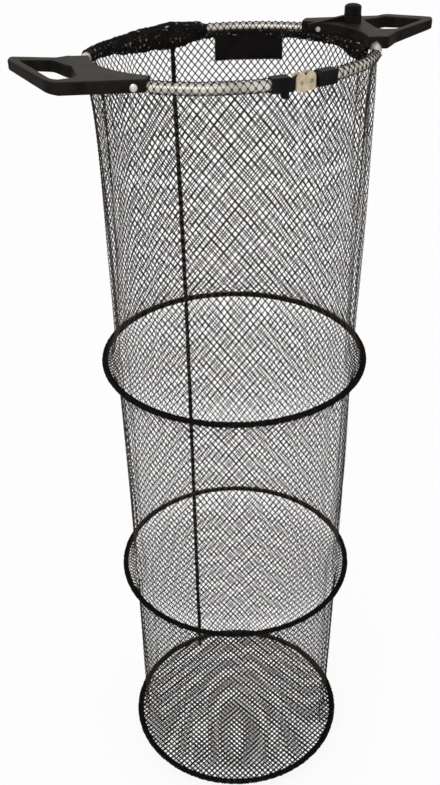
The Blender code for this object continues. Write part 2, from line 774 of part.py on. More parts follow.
def make_screw(name, material):
    """A pan-head screw, up through the tube into the handle."""
    seat = -TUBE_RADIUS - FIT_GAP
    profile = [(0, seat - SCREW_HEAD_HEIGHT), (SCREW_RIM_RADIUS, seat - SCREW_HEAD_HEIGHT),
               (SCREW_HEAD_RADIUS, seat - SCREW_HEAD_HEIGHT / 2), (SCREW_HEAD_RADIUS, seat),
               (SCREW_RADIUS, seat), (SCREW_RADIUS, SCREW_DEPTH - SCREW_RADIUS), (0, SCREW_DEPTH)]
    return object_from(name, turned(profile, TUBE_SIDES, screw_place()), material)


def boss_place(height=0.0):
    return Matrix.Translation((RING_HALF_LENGTH + BOSS_REACH, BOSS_SIDE, height))


def boss_shape():
    """The boss on the right handle, with a gusset that runs down its arm."""
    shape = prism(circle(BOSS_RADIUS, ROUND_SIDES), BOSS_BOTTOM, BOSS_TOP)
    shape.transform(boss_place())
    return object_from("boss", shape, None)


def gusset_shape():
    _, along, facing = arm_back()
    low = (HANDLE_TOP + HANDLE_BOTTOM) / 2
    outline = [Vector((0, low)), Vector((GUSSET_LENGTH, low)),
               Vector((GUSSET_LENGTH, HANDLE_TOP - HANDLE_ROUNDING)),
               Vector((BOSS_RADIUS, BOSS_TOP - HANDLE_ROUNDING)), Vector((0, BOSS_TOP - HANDLE_ROUNDING))]
    shape = prism(outline, -GUSSET_THICKNESS / 2, GUSSET_THICKNESS / 2)
    shape.transform(frame_matrix(boss_place().translation + facing * GUSSET_THICKNESS, -along, UP, facing))
    return object_from("gusset", shape, None)


def make_handle(name, with_boss, material):
    shape = prism(handle_outline(), HANDLE_BOTTOM, HANDLE_TOP)
    bend = Vector((RING_HALF_LENGTH + BEND_LOW_REACH, BEND_LOW_SIDE, 0))
    outwards = Vector((BEND_HIGH_SIDE - BEND_LOW_SIDE, BEND_LOW_REACH - BEND_HIGH_REACH, 0)).normalized()
    everything = shape.verts[:] + shape.edges[:] + shape.faces[:]
    bmesh.ops.bisect_plane(shape, geom=everything, plane_co=bend, plane_no=outwards)
    top = HANDLE_TOP
    for vert in shape.verts:
        beyond = max(0.0, (vert.co - bend).dot(outwards))
        vert.co.z += beyond * (RISE_TOP_SHARE if vert.co.z > 0 else RISE_BOTTOM_SHARE)
        top = max(top, vert.co.z)
    handle = object_from(name, shape, material)
    grip = prism(grip_outline(), HANDLE_BOTTOM - CUT_OVERRUN, top + CUT_OVERRUN)
    combine(handle, object_from(f"{name}_grip", grip, None))
    round_edges(handle, HANDLE_ROUNDING)
    if with_boss:
        combine(handle, gusset_shape(), "UNION")
        combine(handle, boss_shape(), "UNION")
        bore = prism(circle(INSERT_RADIUS + FIT_GAP, ROUND_SIDES), BOSS_BOTTOM - CUT_OVERRUN,
                     INSERT_TOP + FIT_GAP)
        bore.transform(boss_place())
        combine(handle, object_from("boss_bore", bore, None))
        bore = prism(circle(KNOB_SHANK_RADIUS + FIT_GAP, ROUND_SIDES), INSERT_TOP, BOSS_TOP + CUT_OVERRUN)
        bore.transform(boss_place())
        combine(handle, object_from("boss_shank_bore", bore, None))
    channel_ends = walk(SHORT_ANGLE, -CUT_OVERRUN), walk(ARM_ANGLE, CUT_OVERRUN)
    channel = swept(ring_path(*channel_ends), channel_section())
    combine(handle, object_from(f"{name}_channel", channel, None))
    combine(handle, rivet_hole(f"{name}_rivet_hole"))
    combine(handle, rivet_seat(f"{name}_rivet_seat"))
    combine(handle, screw_hole(f"{name}_screw_hole"))
    return handle


def channel_section():
    """The tube's seat in the handle: round above, and open straight down so that it drops on."""
    radius = TUBE_RADIUS + FIT_GAP
    arc = [math.pi * i / TUBE_SIDES for i in range(TUBE_SIDES + 1)]
    foot = HANDLE_BOTTOM - CUT_OVERRUN
    return [(radius * math.cos(angle), radius * math.sin(angle)) for angle in arc] + \
        [(-radius, foot), (radius, foot)]


def make_insert(material):
    """The threaded insert: a sleeve in the boss, with a flange under it."""
    low = BOSS_BOTTOM - FIT_GAP
    profile = [(INSERT_BORE_RADIUS, low - INSERT_FLANGE_HEIGHT), (INSERT_FLANGE_RADIUS, low - INSERT_FLANGE_HEIGHT),
               (INSERT_FLANGE_RADIUS, low), (INSERT_RADIUS, low), (INSERT_RADIUS, INSERT_TOP),
               (INSERT_BORE_RADIUS, INSERT_TOP)]
    return object_from("bank_stick_insert", turned(profile, place=boss_place(), closed=True), material)


def make_knob(material):
    """The fluted turning knob on top of the boss, keyed into the insert by its shank."""
    seat = BOSS_TOP + FIT_GAP
    sides = 2 * KNOB_FLUTES
    shape = bmesh.new()
    shoulder = seat + KNOB_HEIGHT - KNOB_DOME_HEIGHT
    levels = [(KNOB_SHANK_RADIUS, KNOB_SHANK_BOTTOM, 0), (KNOB_SHANK_RADIUS, seat, 0),
              (KNOB_RADIUS, seat, 1), (KNOB_RADIUS, shoulder, 1)]
    for step in range(1, CORNER_STEPS):
        angle = math.pi / 2 * step / CORNER_STEPS
        levels.append((KNOB_RADIUS * math.cos(angle), shoulder + KNOB_DOME_HEIGHT * math.sin(angle), 0))
    rings = []
    for radius, height, fluted in levels:
        ring = []
        for i, (x, y) in enumerate(circle(1, sides)):
            size = radius - (KNOB_FLUTE_DEPTH if fluted and i % 2 else 0)
            ring.append(shape.verts.new((x * size, y * size, height)))
        rings.append(ring)
    for first, second in zip(rings, rings[1:]):
        skin(shape, first, second)
    shape.faces.new(rings[0])
    shape.faces.new(rings[-1])
    shape.transform(boss_place())
    return object_from("bank_stick_knob", shape, material)


def make_halves(materials, pivots):
    """The right half of the ring, and the left half as the same pieces turned by 180 degrees."""
    arm_span, short_span = sleeve_spans()
    base = {
        "tube": make_tube("right_tube", materials["aluminium"]),
        "handle": make_handle("right_handle", True, materials["moulding"]),
        "rivet": make_rivet("right_arm_rivet", materials["steel"]),
        "screw": make_screw("right_end_screw", materials["steel"]),
        "arm_socket": make_socket("rear_right_socket", True, True, materials["socket"]),
        "short_socket": make_socket("front_right_socket", False, False, materials["socket"]),
        "arm_sleeve": make_sleeve("rear_right_sleeve", *arm_span, materials["net"]),
        "short_sleeve": make_sleeve("front_right_sleeve", *short_span, materials["net"]),
        "mouth": make_mouth_net("net_mouth_right", materials["net"]),
    }
    left_names = {
        "tube": "left_tube", "rivet": "left_arm_rivet", "screw": "left_end_screw",
        "arm_socket": "front_left_socket", "short_socket": "rear_left_socket",
        "arm_sleeve": "front_left_sleeve", "short_sleeve": "rear_left_sleeve",
        "mouth": "net_mouth_left",
    }
    left = [turned_copy(base[key], name) for key, name in left_names.items()]
    left_handle = make_handle("left_handle", False, materials["moulding"])
    turn_with_cutters(left_handle)
    left.append(left_handle)
    for piece in base.values():
        attach(piece, pivots["right"])
    for piece in left:
        attach(piece, pivots["left"])


def turn_with_cutters(piece):
    half_turn(piece, True)
    for modifier in piece.modifiers:
        if modifier.type == "BOOLEAN":
            half_turn(modifier.object, True)


def turned_copy(piece, name):
    """The left-hand twin of a piece, with its own turned cutters."""
    twin = half_turn(copy_of(piece, name), True)
    for modifier in twin.modifiers:
        if modifier.type == "BOOLEAN":
            cutter = copy_of(modifier.object, f"{name}_{modifier.object.name}")
            modifier.object = as_cutter(half_turn(cutter, True))
    return twin


# Hoops

def hoop_heights():
    heights = []
    height = 0.0
    for drop in SECTION_DROPS:
        height -= drop
        heights.append(height)
    return heights


def ferrule_radius(rod_radius):
    return rod_radius + FIT_GAP + FERRULE_WALL


def hem_radius(rod_radius):
    """The outer radius of a hoop's bound hem, whose facets clear the ferrule."""
    half_facet = (2 * math.pi - BINDING_SLOT) / BINDING_SIDES / 2
    return (ferrule_radius(rod_radius) + FIT_GAP) / math.cos(half_facet) + BINDING_WALL


def make_hoop(name, height, rod_radius, materials, carrier):
    """A rod bent round, its ferrule, and the net's hem bound over both."""
    first, last = seam_stations(height, ROD_END_GAP)
    path = [first] + hoop_path(height) + [last]
    rod = object_from(f"{name}_rod", swept(path, circle(rod_radius, ROD_SIDES)), materials["rod"])

    path = seam_stations(height, FERRULE_LENGTH)
    section = circle(ferrule_radius(rod_radius), ROD_SIDES * 2)
    bore = circle(ferrule_radius(rod_radius) - FERRULE_WALL, ROD_SIDES * 2)
    ferrule = object_from(f"{name}_ferrule", swept(path, section, bore), materials["steel"])

    outer = hem_radius(rod_radius)
    section = open_band(outer - BINDING_WALL, outer, BINDING_SLOT, BINDING_SIDES)
    binding = object_from(f"{name}_binding", swept(hoop_path(height), section, closed=True), materials["binding"])
    for piece in (rod, ferrule, binding):
        attach(piece, carrier)


# Netting

def net_outline(angle, height, heights):
    """A point of the hanging net: oval under the ring, round at the hoops, drawn in between."""
    share = min(1.0, height / heights[0])
    edges = [hoop + side * hem_radius(HOOP_ROD_RADIUS) for hoop in heights for side in (-1, 1)]
    nearest = min(abs(height - edge) for edge in edges)
    radius = NET_RADIUS + (HOOP_RADIUS - NET_RADIUS) * max(0.0, 1 - nearest / FLARE_LENGTH)
    length = RING_HALF_LENGTH + (radius - RING_HALF_LENGTH) * share
    width = RING_HALF_WIDTH + (radius - RING_HALF_WIDTH) * share
    return Vector((length * math.cos(angle), width * math.sin(angle), height))


def net_solid(knots, outwards, cells):
    """Netting as one solid: strands of a flat diamond section along every edge of its cells."""
    shape = bmesh.new()
    half = STRAND_THICKNESS / 2
    front = [shape.verts.new(knot + out * half) for knot, out in zip(knots, outwards)]
    back = [shape.verts.new(knot - out * half) for knot, out in zip(knots, outwards)]
    uses = {}
    for cell in cells:
        count = len(cell)
        corners = []
        for i, knot in enumerate(cell):
            here = knots[knot]
            before = (knots[cell[i - 1]] - here).normalized()
            after = (knots[cell[(i + 1) % count]] - here).normalized()
            middle = (before + after).normalized()
            inset = STRAND_WIDTH / 2 / before.cross(middle).length
            corners.append(shape.verts.new(here + middle * inset))
        for i in range(count):
            j = (i + 1) % count
            a, b = cell[i], cell[j]
            shape.faces.new((front[a], front[b], corners[j], corners[i]))
            shape.faces.new((back[b], back[a], corners[i], corners[j]))
            uses.setdefault(frozenset((a, b)), []).append((a, b))
    for edge in uses.values():
        if len(edge) == 1:
            a, b = edge[0]
            shape.faces.new((front[b], front[a], back[a], back[b]))
    return shape


def net_levels(top, foot, rows, hooped_above=True):
    """The heights of a net's rows of knots: one where each flare ends, the rest evenly between."""
    first = top - FLARE_LENGTH if hooped_above else top
    last = foot + FLARE_LENGTH
    inner = rows - 1 - int(hooped_above)
    levels = [first + (last - first) * i / inner for i in range(inner + 1)]
    return ([top] if hooped_above else []) + levels + [foot]


def diamond_net(columns, levels, place, closed):
    """Diamond netting with straight strands along its borders: place(across, height) gives a knot."""
    rows = len(levels) - 1
    knots, outwards, index = [], [], {}

    def knot(across, down):
        key = (round(2 * across) % (2 * columns) if closed else round(2 * across), down)
        if key not in index:
            index[key] = len(knots)
            point, outward = place(across / columns, levels[down])
            knots.append(point)
            outwards.append(outward)
        return index[key]

    cells = []
    for down in range(rows + 1):
        for column in range(columns + 1):
            across = column + (0.5 if down % 2 == 0 else 0.0)
            if closed and column == columns or across > columns:
                continue
            left, right = max(0.0, across - 0.5), min(float(columns), across + 0.5)
            if closed:
                left, right = across - 0.5, across + 0.5
            above = [knot(across, down - 1)] if down > 0 else []
            below = [knot(across, down + 1)] if down < rows else []
            sides = [knot(left, down)] if left < across else []
            others = [knot(right, down)] if right > across else []
            cell = above + sides + below + others
            if len(cell) > 2:
                cells.append(cell)
    return net_solid(knots, outwards, cells)


def outward_at(angle, height, heights):
    """The net's direction outwards: square to its surface in plan."""
    step = 1e-4
    along = net_outline(angle + step, height, heights) - net_outline(angle - step, height, heights)
    return along.cross(UP).normalized()


def with_seam(angle, height, heights):
    """The net is twisted a little above the first hoop, by as much as its seam leans."""
    return angle + (CORD_BEARING - REAR_ANGLE) * min(1.0, height / heights[0])


def net_placer(start, turn):
    heights = hoop_heights()

    def place(across, height):
        angle = with_seam(start + turn * across, height, heights)
        return net_outline(angle, height, heights), outward_at(angle, height, heights)

    return place


def make_mouth_net(name, material):
    """The netting under the right half of the ring, which turns with it."""
    gap = FIT_GAP / ring_speed(REAR_ANGLE)
    top = -LINK_HEIGHT / 2 - FIT_GAP
    levels = [top + (-MOUTH_DEPTH - top) * row / MOUTH_ROWS for row in range(MOUTH_ROWS + 1)]
    place = net_placer(FRONT_ANGLE + gap, math.pi - 2 * gap)
    shape = diamond_net(NET_COLUMNS // 2, levels, place, closed=False)
    return object_from(name, shape, material)


def make_net_tube(materials, carriers):
    heights = hoop_heights()
    hem = hem_radius(HOOP_ROD_RADIUS)
    base_hem = hem_radius(BASE_ROD_RADIUS)
    tops = [-MOUTH_DEPTH - FIT_GAP] + [height - hem - FIT_GAP for height in heights[:-1]]
    feet = [height + hem + FIT_GAP for height in heights[:-1]] + [heights[-1] + base_hem + FIT_GAP]
    for number, (top, foot, carrier) in enumerate(zip(tops, feet, carriers), start=1):
        hung_from_mouth = number == 1
        rows = SECTION_ROWS - MOUTH_ROWS if hung_from_mouth else SECTION_ROWS
        levels = net_levels(top, foot, rows, not hung_from_mouth)
        shape = diamond_net(NET_COLUMNS, levels, net_placer(FRONT_ANGLE, 2 * math.pi), closed=True)
        attach(object_from(f"net_section_{number}", shape, materials["net"]), carrier)


def make_base_net(material, carrier):
    """Square netting drawn out to a circle inside the base hoop."""
    rim = HOOP_RADIUS * math.cos(math.pi / HOOP_STEPS) - ferrule_radius(BASE_ROD_RADIUS) - FIT_GAP
    height = hoop_heights()[-1]
    knots, cells = [], []
    for row in range(BASE_CELLS + 1):
        for column in range(BASE_CELLS + 1):
            x, y = 2 * column / BASE_CELLS - 1, 2 * row / BASE_CELLS - 1
            disc_x, disc_y = x * math.sqrt(1 - y * y / 2), y * math.sqrt(1 - x * x / 2)
            knots.append(Vector((disc_x * rim, disc_y * rim, height)))
    across = BASE_CELLS + 1
    for row in range(BASE_CELLS):
        for column in range(BASE_CELLS):
            first = row * across + column
            cells.append([first, first + 1, first + across + 1, first + across])
    shape = net_solid(knots, [UP] * len(knots), cells)
    shape.transform(Matrix.Rotation(HOOP_SEAM_BEARING, 4, "Z"))
    attach(object_from("base_net", shape, material), carrier)


# Seam cord

def make_seam_cord(number, levels, material, carrier):
    """One length of the seam cord, laid just outside the net."""
    heights = hoop_heights()
    offset = CORD_RADIUS + STRAND_THICKNESS / 2 + FIT_GAP
    curve = bpy.data.curves.new(f"seam_cord_{number}", "CURVE")
    curve.dimensions = "3D"
    curve.bevel_depth = CORD_RADIUS
    curve.bevel_resolution = 1
    curve.use_fill_caps = True
    spline = curve.splines.new("POLY")
    spline.points.add(len(levels) - 1)
    for height, point in zip(levels, spline.points):
        angle = with_seam(REAR_ANGLE, height, heights)
        place = net_outline(angle, height, heights) + outward_at(angle, height, heights) * offset
        point.co = (*place, 1)
    curve.materials.append(material)
    cord = bpy.data.objects.new(f"seam_cord_{number}", curve)
    bpy.context.scene.collection.objects.link(cord)
    attach(cord, carrier)


def make_seam_cords(material, carriers):
    heights = hoop_heights()
    hem = hem_radius(HOOP_ROD_RADIUS) + CORD_RADIUS + FIT_GAP
    base_hem = hem_radius(BASE_ROD_RADIUS) + CORD_RADIUS + FIT_GAP
    tops = [-LINK_HEIGHT / 2 - FIT_GAP] + [height - hem for height in heights[:-1]]
    feet = [height + hem for height in heights[:-1]] + [heights[-1] + base_hem]
    for number, (top, foot, carrier) in enumerate(zip(tops, feet, carriers), start=1):
        levels = net_levels(top, foot, SECTION_ROWS, number > 1)
        make_seam_cord(number, levels, material, carrier)


def make_joints():
    """An empty on each joint's axis."""
    links = joint_empty("hinge_links", (0, 0, 0))
    half = FOLD_WAY * (PIN_SPACING / 2)
    pivots = {"links": links, "right": joint_empty("right_fold_axis", half, links),
              "left": joint_empty("left_fold_axis", -half, links)}
    carrier = links
    pivots["hoops"] = []
    for number, height in enumerate(hoop_heights(), start=1):
        carrier = joint_empty(f"hoop_{number}_slide", (0, 0, height), carrier)
        pivots["hoops"].append(carrier)
    pivots["knob"] = joint_empty("bank_stick_axis", boss_place().translation, pivots["right"])
    return pivots


def main():
    clear_scene()
    materials = make_materials()
    pivots = make_joints()
    for piece in make_links(materials):
        attach(piece, pivots["links"])
    make_halves(materials, pivots)
    for piece in (make_knob(materials["moulding"]), make_insert(materials["brass"])):
        attach(piece, pivots["knob"])

    arm_span, _ = sleeve_spans()
    rear = arm_span[1]
    hem = make_hem("right_hem", walk(rear, -REAR_HEM_LENGTH), rear, HEM_THICKNESS, HEM_DROP, materials["net"])
    attach(hem, pivots["right"])
    attach(make_label(materials["label"]), pivots["right"])
    left_start = walk(REAR_ANGLE, SOCKET_START + SOCKET_LENGTH + FIT_GAP)
    left_end = walk(left_start, BUNCH_LENGTH)
    bunch = make_hem("left_hem", left_start, left_end, BUNCH_THICKNESS, BUNCH_DROP, materials["net"])
    attach(bunch, pivots["left"])

    heights = hoop_heights()
    names = ("upper_hoop", "middle_hoop", "base_hoop")
    rods = (HOOP_ROD_RADIUS, HOOP_ROD_RADIUS, BASE_ROD_RADIUS)
    for name, height, rod, carrier in zip(names, heights, rods, pivots["hoops"]):
        make_hoop(name, height, rod, materials, carrier)
    carriers = [pivots["links"]] + pivots["hoops"][:-1]
    make_net_tube(materials, carriers)
    make_base_net(materials["net"], pivots["hoops"][-1])
    make_seam_cords(materials["binding"], carriers)
    bpy.context.view_layer.update()


main()
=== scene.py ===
# %% [markdown]
# # A folding keep net
#
# A keep net holds a day's catch alive in the water. It is a long tube of soft mesh that hangs from an
# oval ring, with hoops to keep it open. A net modelled afresh would look as good and never move. So
# most fine pieces made here ride on a body of that model.

# %% Load the frame
import math

import bmesh
import bpy
from mathutils import Matrix, Vector, noise


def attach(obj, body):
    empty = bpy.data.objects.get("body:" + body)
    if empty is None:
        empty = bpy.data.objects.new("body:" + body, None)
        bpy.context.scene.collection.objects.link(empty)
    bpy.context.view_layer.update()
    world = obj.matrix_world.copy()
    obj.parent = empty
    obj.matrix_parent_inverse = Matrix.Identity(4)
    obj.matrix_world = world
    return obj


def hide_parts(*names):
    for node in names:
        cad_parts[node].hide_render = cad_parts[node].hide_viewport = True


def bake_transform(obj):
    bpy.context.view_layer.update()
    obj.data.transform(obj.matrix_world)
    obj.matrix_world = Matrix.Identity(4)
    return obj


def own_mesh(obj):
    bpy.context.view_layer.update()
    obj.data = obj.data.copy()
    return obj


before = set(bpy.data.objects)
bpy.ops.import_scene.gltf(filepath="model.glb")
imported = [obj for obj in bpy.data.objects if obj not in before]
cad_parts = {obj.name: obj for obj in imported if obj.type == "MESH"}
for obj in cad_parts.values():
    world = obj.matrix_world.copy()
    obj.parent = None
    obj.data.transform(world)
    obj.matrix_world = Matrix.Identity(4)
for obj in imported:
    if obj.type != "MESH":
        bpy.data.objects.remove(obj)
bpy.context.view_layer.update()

MM = 0.001
UP = Vector((0, 0, 1))


# %% [markdown]
# The camera stands where the photographer did: above the ring and a little to its left, looking down
# into the mouth. Tilting it further down would frame the base too, but would close in the net's sides
# faster than the photo shows. A vertical shift of the lens frames it without that.

# %% Camera
CAMERA_PLACE = (-0.4190, -1.2700, 0.3360)
CAMERA_DOWN = math.radians(39.65)
CAMERA_TURN = math.radians(-18)
CAMERA_ROLL = math.radians(-0.53)
CAMERA_LENS = 44.7         # mm, as is the sensor's width
CAMERA_SENSOR = 36
CAMERA_SHIFT = (-0.0150, 0.1636)

camera_data = bpy.data.cameras.new("camera")
camera_data.lens = CAMERA_LENS
camera_data.sensor_width = CAMERA_SENSOR
camera_data.shift_x, camera_data.shift_y = CAMERA_SHIFT
camera = bpy.data.objects.new("camera", camera_data)
turn = Matrix.Rotation(CAMERA_TURN, 4, "Z") @ Matrix.Rotation(math.pi / 2 - CAMERA_DOWN, 4, "X")
camera.matrix_world = Matrix.Translation(CAMERA_PLACE) @ turn @ Matrix.Rotation(CAMERA_ROLL, 4, "Z")
bpy.context.scene.collection.objects.link(camera)
bpy.context.scene.camera = camera
print("camera at", CAMERA_PLACE)


# %% [markdown]
# Every finish and every repeated piece below is a tree of nodes. A tree could be clicked together by
# hand, or written with a line for each socket. `fill` takes all of a node's inputs at once, where each
# is either a plain value or the output of an earlier node, so that a tree reads from top to bottom.

# %% Helpers for node trees
def fill(tree, node, inputs):
    """Fills a node's inputs with plain values, or with links where a value is a socket."""
    for name, value in inputs.items():
        if isinstance(value, bpy.types.NodeSocket):
            tree.links.new(value, node.inputs[name])
        else:
            node.inputs[name].default_value = value
    return node


def add_node(tree, kind, inputs=None):
    """Adds a node and fills its inputs."""
    return fill(tree, tree.nodes.new(kind), inputs or {})


def worked_out(tree, operation, first, second):
    """The result of a sum on two values."""
    node = tree.nodes.new("ShaderNodeMath")
    node.operation = operation
    return fill(tree, node, {0: first, 1: second}).outputs[0]


def white_to_camera(tree):
    """A value that is 1 for rays that should see plain white, and 0 for rays that carry light."""
    path = add_node(tree, "ShaderNodeLightPath")
    seen = worked_out(tree, "MAXIMUM", path.outputs["Is Camera Ray"], path.outputs["Is Glossy Ray"])
    return worked_out(tree, "MAXIMUM", seen, path.outputs["Is Transmission Ray"])


print("helpers: fill, add_node, worked_out, white_to_camera")


# %% [markdown]
# The net's strands are only two or three millimetres wide, so they need light from every side to keep
# their colour. Several lamps could give it, but each would throw its own shadow. A pale world lights
# them evenly instead, and one large soft lamp adds a little shape.

# %% World and lamp
WORLD_LIGHT = 0.92
LAMP_SIZE = (1.6, 1.2)
LAMP_POWER = 18
LAMP_PLACE = (-1.2, -1.5, 1.6)
LAMP_AIM = Vector((0, 0, -0.4))

scene = bpy.context.scene
scene.view_settings.view_transform = "Standard"

world = bpy.data.worlds.new("studio")
world.use_nodes = True
scene.world = world
sky = world.node_tree.nodes["Background"]
sky.inputs["Color"].default_value = (1, 1, 1, 1)
sky_strength = add_node(world.node_tree, "ShaderNodeMapRange", {
    "Value": white_to_camera(world.node_tree), "To Min": WORLD_LIGHT, "To Max": 1.0})
world.node_tree.links.new(sky_strength.outputs["Result"], sky.inputs["Strength"])

lamp_data = bpy.data.lights.new("soft box", "AREA")
lamp_data.shape = "RECTANGLE"
lamp_data.size, lamp_data.size_y = LAMP_SIZE
lamp_data.energy = LAMP_POWER
lamp = bpy.data.objects.new("soft box", lamp_data)
lamp.location = LAMP_PLACE
lamp.rotation_euler = (LAMP_AIM - lamp.location).to_track_quat("-Z", "Y").to_euler()
scene.collection.objects.link(lamp)
print("world light", WORLD_LIGHT, "and a lamp at", LAMP_PLACE)


# %% [markdown]
# Round the net the photo is plain white. A white floor lit until it clips would do, but that light
# would wash out the net as well. So the floor shows the camera a share of plain white, and takes the
# net's shadow with the rest.

# %% Floor
FLOOR_HEIGHT = -1.30
FLOOR_SIZE = 14.0
FLOOR_TONE = (0.9, 0.9, 0.9)
FLOOR_WHITE_SHARE = 0.88

floor_material = bpy.data.materials.new("studio floor")
floor_material.use_nodes = True
floor_tree = floor_material.node_tree
floor_tree.nodes.clear()
floor_paint = add_node(floor_tree, "ShaderNodeBsdfDiffuse", {"Color": (*FLOOR_TONE, 1)})
floor_glow = add_node(floor_tree, "ShaderNodeEmission")
floor_share = worked_out(floor_tree, "MULTIPLY", white_to_camera(floor_tree), FLOOR_WHITE_SHARE)
floor_mix = add_node(floor_tree, "ShaderNodeMixShader", {
    0: floor_share, 1: floor_paint.outputs[0], 2: floor_glow.outputs[0]})
add_node(floor_tree, "ShaderNodeOutputMaterial", {"Surface": floor_mix.outputs[0]})

floor_shape = bmesh.new()
bmesh.ops.create_grid(floor_shape, x_segments=1, y_segments=1, size=FLOOR_SIZE / 2)
floor_shape.transform(Matrix.Translation((0, 0, FLOOR_HEIGHT)))
floor_mesh = bpy.data.meshes.new("floor")
floor_shape.to_mesh(floor_mesh)
floor_shape.free()
floor_mesh.materials.append(floor_material)
floor = bpy.data.objects.new("floor", floor_mesh)
scene.collection.objects.link(floor)
print("floor at", FLOOR_HEIGHT)


# %% [markdown]
# No real surface has one flat colour. A painted image could show that, but it would blur up close. Here
# a noise in object space mixes two close tones, and a finer one drives a small bump, so a finish stays
# sharp at any distance. `finish` builds that recipe once, and the cells below only say how each differs.

# %% A recipe for finishes
TONE_EDGES = (0.35, 0.65)      # the noise is all dark tone below the first, and all light above the second
ROUGH_SWING = 0.08
GRAIN_RATIO = 8                # the bump's grain is this much finer than the patches of tone
BUMP_DEPTH = 0.3 * MM


def finish(name, dark, light, roughness, metallic=0.0, scale=60.0, stretch=(1, 1, 1), bump=0.1,
           bump_scale=None, gloss=0.5):
    """A Principled material whose colour wanders between two tones, with a matching bump."""
    made = bpy.data.materials.new(name)
    made.use_nodes = True
    tree = made.node_tree
    shader = tree.nodes["Principled BSDF"]
    shader.inputs["Metallic"].default_value = metallic
    shader.inputs["Specular IOR Level"].default_value = gloss
    place = add_node(tree, "ShaderNodeTexCoord")
    mapping = add_node(tree, "ShaderNodeMapping", {"Vector": place.outputs["Object"], "Scale": stretch})
    patches = add_node(tree, "ShaderNodeTexNoise", {
        "Vector": mapping.outputs["Vector"], "Scale": scale, "Detail": 4})
    tones = add_node(tree, "ShaderNodeValToRGB", {"Fac": patches.outputs["Fac"]})
    for stop, position, tone in zip(tones.color_ramp.elements, TONE_EDGES, (dark, light)):
        stop.position = position
        stop.color = (*tone, 1)
    shine = add_node(tree, "ShaderNodeMapRange", {
        "Value": patches.outputs["Fac"],
        "To Min": roughness - ROUGH_SWING, "To Max": roughness + ROUGH_SWING})
    grain = add_node(tree, "ShaderNodeTexNoise", {
        "Vector": mapping.outputs["Vector"], "Scale": bump_scale or scale * GRAIN_RATIO, "Detail": 3})
    relief = add_node(tree, "ShaderNodeBump", {
        "Height": grain.outputs["Fac"], "Strength": bump, "Distance": BUMP_DEPTH})
    tree.links.new(tones.outputs["Color"], shader.inputs["Base Color"])
    tree.links.new(shine.outputs["Result"], shader.inputs["Roughness"])
    tree.links.new(relief.outputs["Normal"], shader.inputs["Normal"])
    return made


def parts_of(made):
    """A finish's tree, its texture coordinates, and the shader's input for its colour."""
    tree = made.node_tree
    place = next(node for node in tree.nodes if node.type == "TEX_COORD")
    return tree, place.outputs, tree.nodes["Principled BSDF"].inputs["Base Color"]


def mix_over(made, amount, tone):
    """Mixes one more tone over a finish's colour, by an amount from 0 to 1."""
    tree, _, colour = parts_of(made)
    mixed = tree.nodes.new("ShaderNodeMix")
    mixed.data_type = "RGBA"
    fill(tree, mixed, {"Factor": amount, "A": colour.links[0].from_socket, "B": (*tone, 1)})
    tree.links.new(mixed.outputs["Result"], colour)


print("tones mix between", TONE_EDGES)


# %% [markdown]
# The mesh is a soft knitted nylon in a warm brown-black. Its lower end, which hangs in shadow, gets a
# painted shade. Two yarns would show a line where they met, so one yarn darkens with depth. The border
# and the whipping cord are the same nylon, dyed darker, and painted glints fleck the border where fibre
# ends catch the light.

# %% Nylon finishes
# painted shade on the net yarn: full colour above the top height, down to a share of it at the foot
SHADE_TOP, SHADE_FOOT, SHADE_SHARE = -0.80, -1.22, 0.60
GLINT_EDGE = 0.04              # how softly a painted glint ends

net_yarn = finish("net yarn", (0.021, 0.015, 0.011), (0.045, 0.032, 0.024), 0.82, scale=9, bump=0.5,
                  bump_scale=1500, gloss=0.12)
sleeve_yarn = finish("sleeve yarn", (0.018, 0.013, 0.009), (0.050, 0.036, 0.027), 0.80, scale=30,
                     bump=0.5, bump_scale=1500, gloss=0.12)
border_yarn = finish("border yarn", (0.0014, 0.0011, 0.0010), (0.0100, 0.0078, 0.0064), 0.84, scale=90,
                     bump=0.7, bump_scale=1200, gloss=0.12)
black_cord = finish("black cord", (0.0012, 0.0011, 0.0010), (0.0080, 0.0070, 0.0062), 0.86, scale=160,
                    bump=0.8, bump_scale=1300, gloss=0.10)


def painted_shade_below(made, top, foot, share):
    """Paints shade into a finish, darker with depth: as it was above the top, down to a share of it at the
    foot.
    """
    tree, place, colour = parts_of(made)
    split = add_node(tree, "ShaderNodeSeparateXYZ", {0: place["Object"]})
    depth = add_node(tree, "ShaderNodeMapRange", {
        "Value": split.outputs["Z"], "From Min": foot, "From Max": top, "To Min": share})
    depth.interpolation_type = "SMOOTHSTEP"
    shade_scale = tree.nodes.new("ShaderNodeVectorMath")
    shade_scale.operation = "SCALE"
    fill(tree, shade_scale, {0: colour.links[0].from_socket, "Scale": depth.outputs["Result"]})
    tree.links.new(shade_scale.outputs[0], colour)


def with_painted_glints(made, tone, scale, amount):
    """Scatters small pale flecks where broken fibre ends catch the light."""
    tree, place, _ = parts_of(made)
    glint_spots = add_node(tree, "ShaderNodeTexNoise", {"Vector": place["Object"], "Scale": scale, "Detail": 1})
    edge = add_node(tree, "ShaderNodeMapRange", {
        "Value": glint_spots.outputs["Fac"], "From Min": 1 - amount, "From Max": 1 - amount + GLINT_EDGE})
    mix_over(made, edge.outputs["Result"], tone)


# painted shade: the net yarn darkens towards the bottom
painted_shade_below(net_yarn, SHADE_TOP, SHADE_FOOT, SHADE_SHARE)
# painted glints on the border: pale flecks where its fibre ends catch the light
with_painted_glints(border_yarn, tone=(0.24, 0.22, 0.19), scale=230, amount=0.34)
print("nylon:", ", ".join(yarn.name for yarn in (net_yarn, sleeve_yarn, border_yarn, black_cord)))


# %% [markdown]
# The ring is drawn aluminium tube, dulled by water, so its highlights are soft. The rivets are brighter
# steel, the hinge pins are tarnished brown, and the threaded insert is turned brass. One metal could
# serve for all, but the eye tells them apart by tone and roughness, so each gets its own two tones.

